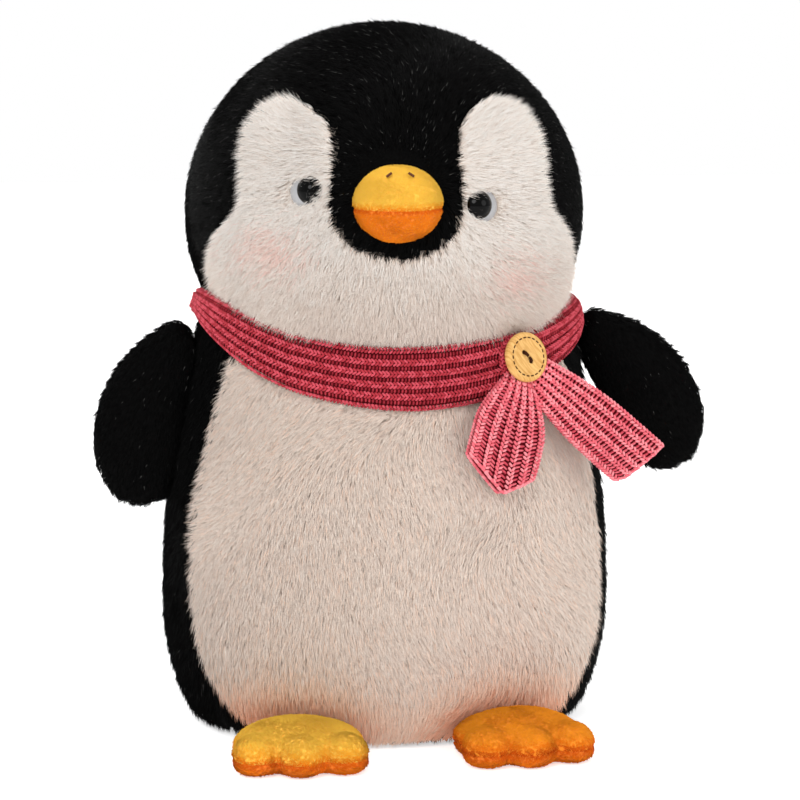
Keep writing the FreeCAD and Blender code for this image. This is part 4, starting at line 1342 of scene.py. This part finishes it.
def tubes(name, paths, radius, material, sides=10):
    """Closed round tubes, one along each path of points, as one piece."""
    points, faces = [], []
    for path in paths:
        path = np.array(path, float)
        ahead = unit(np.gradient(path, axis=0))
        reference = np.array([0.0, 0.0, 1.0]) if abs(ahead[0][2]) < 0.9 else np.array([1.0, 0.0, 0.0])
        first, rings = len(points), len(path)
        for place, t in zip(path, ahead):
            a = unit(np.cross(t, reference))
            b = np.cross(t, a)
            for i in range(sides):
                angle = 2 * math.pi * i / sides
                points.append(place + (a * math.cos(angle) + b * math.sin(angle)) * radius)
        at = lambda k, i: first + k * sides + i % sides
        for k in range(rings - 1):
            faces += [(at(k, i + 1), at(k, i), at(k + 1, i), at(k + 1, i + 1)) for i in range(sides)]
        faces.append(tuple(at(0, i) for i in range(sides)))
        faces.append(tuple(at(rings - 1, i) for i in reversed(range(sides))))
    return add_object(name, mesh_from(name, points, faces), [material])


loops = []
for drift in (-0.35 * MM, 0.35 * MM):
    arch = []
    for turn in np.linspace(0, math.pi, 13):
        arch.append((-HOLE_GAP * math.cos(turn), drift, BUTTON_T * (0.38 + 0.20 * math.sin(turn) ** 0.5)))
    loops.append([(-HOLE_GAP, drift, -BUTTON_T * 0.4)] + arch + [(HOLE_GAP, drift, -BUTTON_T * 0.4)])
DASHES, DASH_REACH, DASH_HEIGHT = 22, BUTTON_R * 0.77, BUTTON_T / 2 - 0.05 * MM
burnt = []
for number in range(DASHES):
    middle = 2 * math.pi * number / DASHES
    span = np.linspace(middle - 0.085, middle + 0.085, 5)
    burnt.append([(DASH_REACH * math.cos(a), DASH_REACH * math.sin(a), DASH_HEIGHT) for a in span])
stitch = tubes("button_stitch", loops, 0.45 * MM, dark_thread)
stitch.matrix_world = button_place
settle(stitch, "button", "thread", "button_thread")
line = tubes("button_burnt_line", burnt, 0.34 * MM, dark_thread, 6)
line.matrix_world = button_place
settle(line, "button", "button_wood")

# --- the knot under the button -------------------------------------------------------------------

KNOT_R = BUTTON_R * 0.92


def knot_point(u, v):
    """A soft pad of knitting, turned about the button's axis: u round it, v out from its middle."""
    angle, reach = u * 2 * math.pi, KNOT_R * (0.12 + 0.88 * v)
    # The knitting samples a little way inside v = 0, where the pad is level.
    sag = 3.2 * MM * np.maximum(v, 0) ** 2.5
    drop = BUTTON_T / 2 + 0.6 * MM + sag + 0.4 * MM * np.sin(3 * angle)
    local = np.stack([reach * np.cos(angle), reach * np.sin(angle), -drop], -1)
    axes = np.array(button_place.to_3x3())
    return local @ axes.T + button_centre


def knot_face(u, v):
    du = knot_point(u + 0.01, v) - knot_point(u - 0.01, v)
    dv = knot_point(u, v + 0.02) - knot_point(u, v - 0.02)
    return knot_point(u, v), unit(np.cross(dv, du)) * -1


knot = knit("knot_knit", knot_face, 4, 34, BAND_LEG, rng, (0, 1, 2), 0.5 * MM)
settle(knot, "torso", "knit")
pad = grid_solid("knot_pad", lambda u, v: (knot_point(u, v), None),
                 lambda u, v: knot_point(u, v) - button_out * 3 * MM, 34, 7, True, knit_shadow)
settle(pad, "torso", "knit", "scarf_knot")

# --- the rest of the scene -----------------------------------------------------------------------

carried_over = {
    fibre: ("head_filling", "beak_filling", "torso_filling", "neck_wad", "right_flipper_filling",
            "left_flipper_filling", "right_foot_filling", "left_foot_filling"),
    brown_thread: ("nostril_stitches",),
    nylon: ("left_eye_washer", "right_eye_washer"),
}
for material, names in carried_over.items():
    for name in names:
        finish_with(frame["nodes"][name].data, material)



def brighter_to_camera(tree, strength, lighting, seen):
    """Gives a strength one value for the light it casts and another for the camera's view of it."""
    choice = tree.nodes.new("ShaderNodeMapRange")
    choice.inputs["To Min"].default_value = lighting
    choice.inputs["To Max"].default_value = seen
    ray = tree.nodes.new("ShaderNodeLightPath")
    tree.links.new(ray.outputs["Is Camera Ray"], choice.inputs["Value"])
    tree.links.new(choice.outputs["Result"], strength)


floor_material = mottled("studio_paper", linear(250, 250, 250), linear(253, 253, 253), 3, 0.0)
shade = floor_material.node_tree.nodes["Principled BSDF"]
shade.inputs["Emission Color"].default_value = (1, 1, 1, 1)
brighter_to_camera(floor_material.node_tree, shade.inputs["Emission Strength"], 0.22, 0.6)
floor = add_object("floor", mesh_from("floor", [(-4, -4, 0), (4, -4, 0), (4, 4, 0), (-4, 4, 0)],
                                      [(0, 1, 2, 3)]), [floor_material])


def area_light(name, place, target, size, power, colour=(1, 1, 1)):
    light = bpy.data.lights.new(name, "AREA")
    light.shape, light.size, light.energy, light.color = "DISK", size, power, colour
    lamp = bpy.data.objects.new(name, light)
    bpy.context.scene.collection.objects.link(lamp)
    lamp.location = place
    lamp.rotation_mode = "QUATERNION"
    lamp.rotation_quaternion = (Vector(target) - Vector(place)).to_track_quat("-Z", "Y")


AIM = (0, 0, 0.18)
area_light("key", (-0.9, -1.8, 1.4), AIM, 1.1, 21)
area_light("fill", (1.5, -1.3, 0.8), AIM, 1.3, 9)
area_light("top", (0.1, 0.3, 1.9), AIM, 1.2, 8)
area_light("rim", (-1.3, 1.2, 1.0), AIM, 0.8, 6)

world = bpy.data.worlds.new("studio")
bpy.context.scene.world = world
world.use_nodes = True
world.node_tree.nodes["Background"].inputs["Color"].default_value = (1, 1, 1, 1)
# The camera sees a white studio, and the toy is lit by a softer one.
brighter_to_camera(world.node_tree, world.node_tree.nodes["Background"].inputs["Strength"], 0.66, 1.0)
bpy.context.scene.view_settings.view_transform = "Standard"

AZIMUTH, ELEVATION, DISTANCE = math.radians(-9.5), math.radians(8), 1.5
back = Vector((math.sin(AZIMUTH) * math.cos(ELEVATION), -math.cos(AZIMUTH) * math.cos(ELEVATION),
               math.sin(ELEVATION)))
right = Vector((math.cos(AZIMUTH), math.sin(AZIMUTH), 0))
target = Vector((0, 0, 159 * MM)) + right * 8 * MM
lens = bpy.data.cameras.new("camera")
lens.lens, lens.sensor_width = 135, 36
camera = bpy.data.objects.new("camera", lens)
bpy.context.scene.collection.objects.link(camera)
camera.location = target + back * DISTANCE
camera.rotation_mode = "QUATERNION"
camera.rotation_quaternion = (-back).to_track_quat("-Z", "Y")
bpy.context.scene.camera = camera
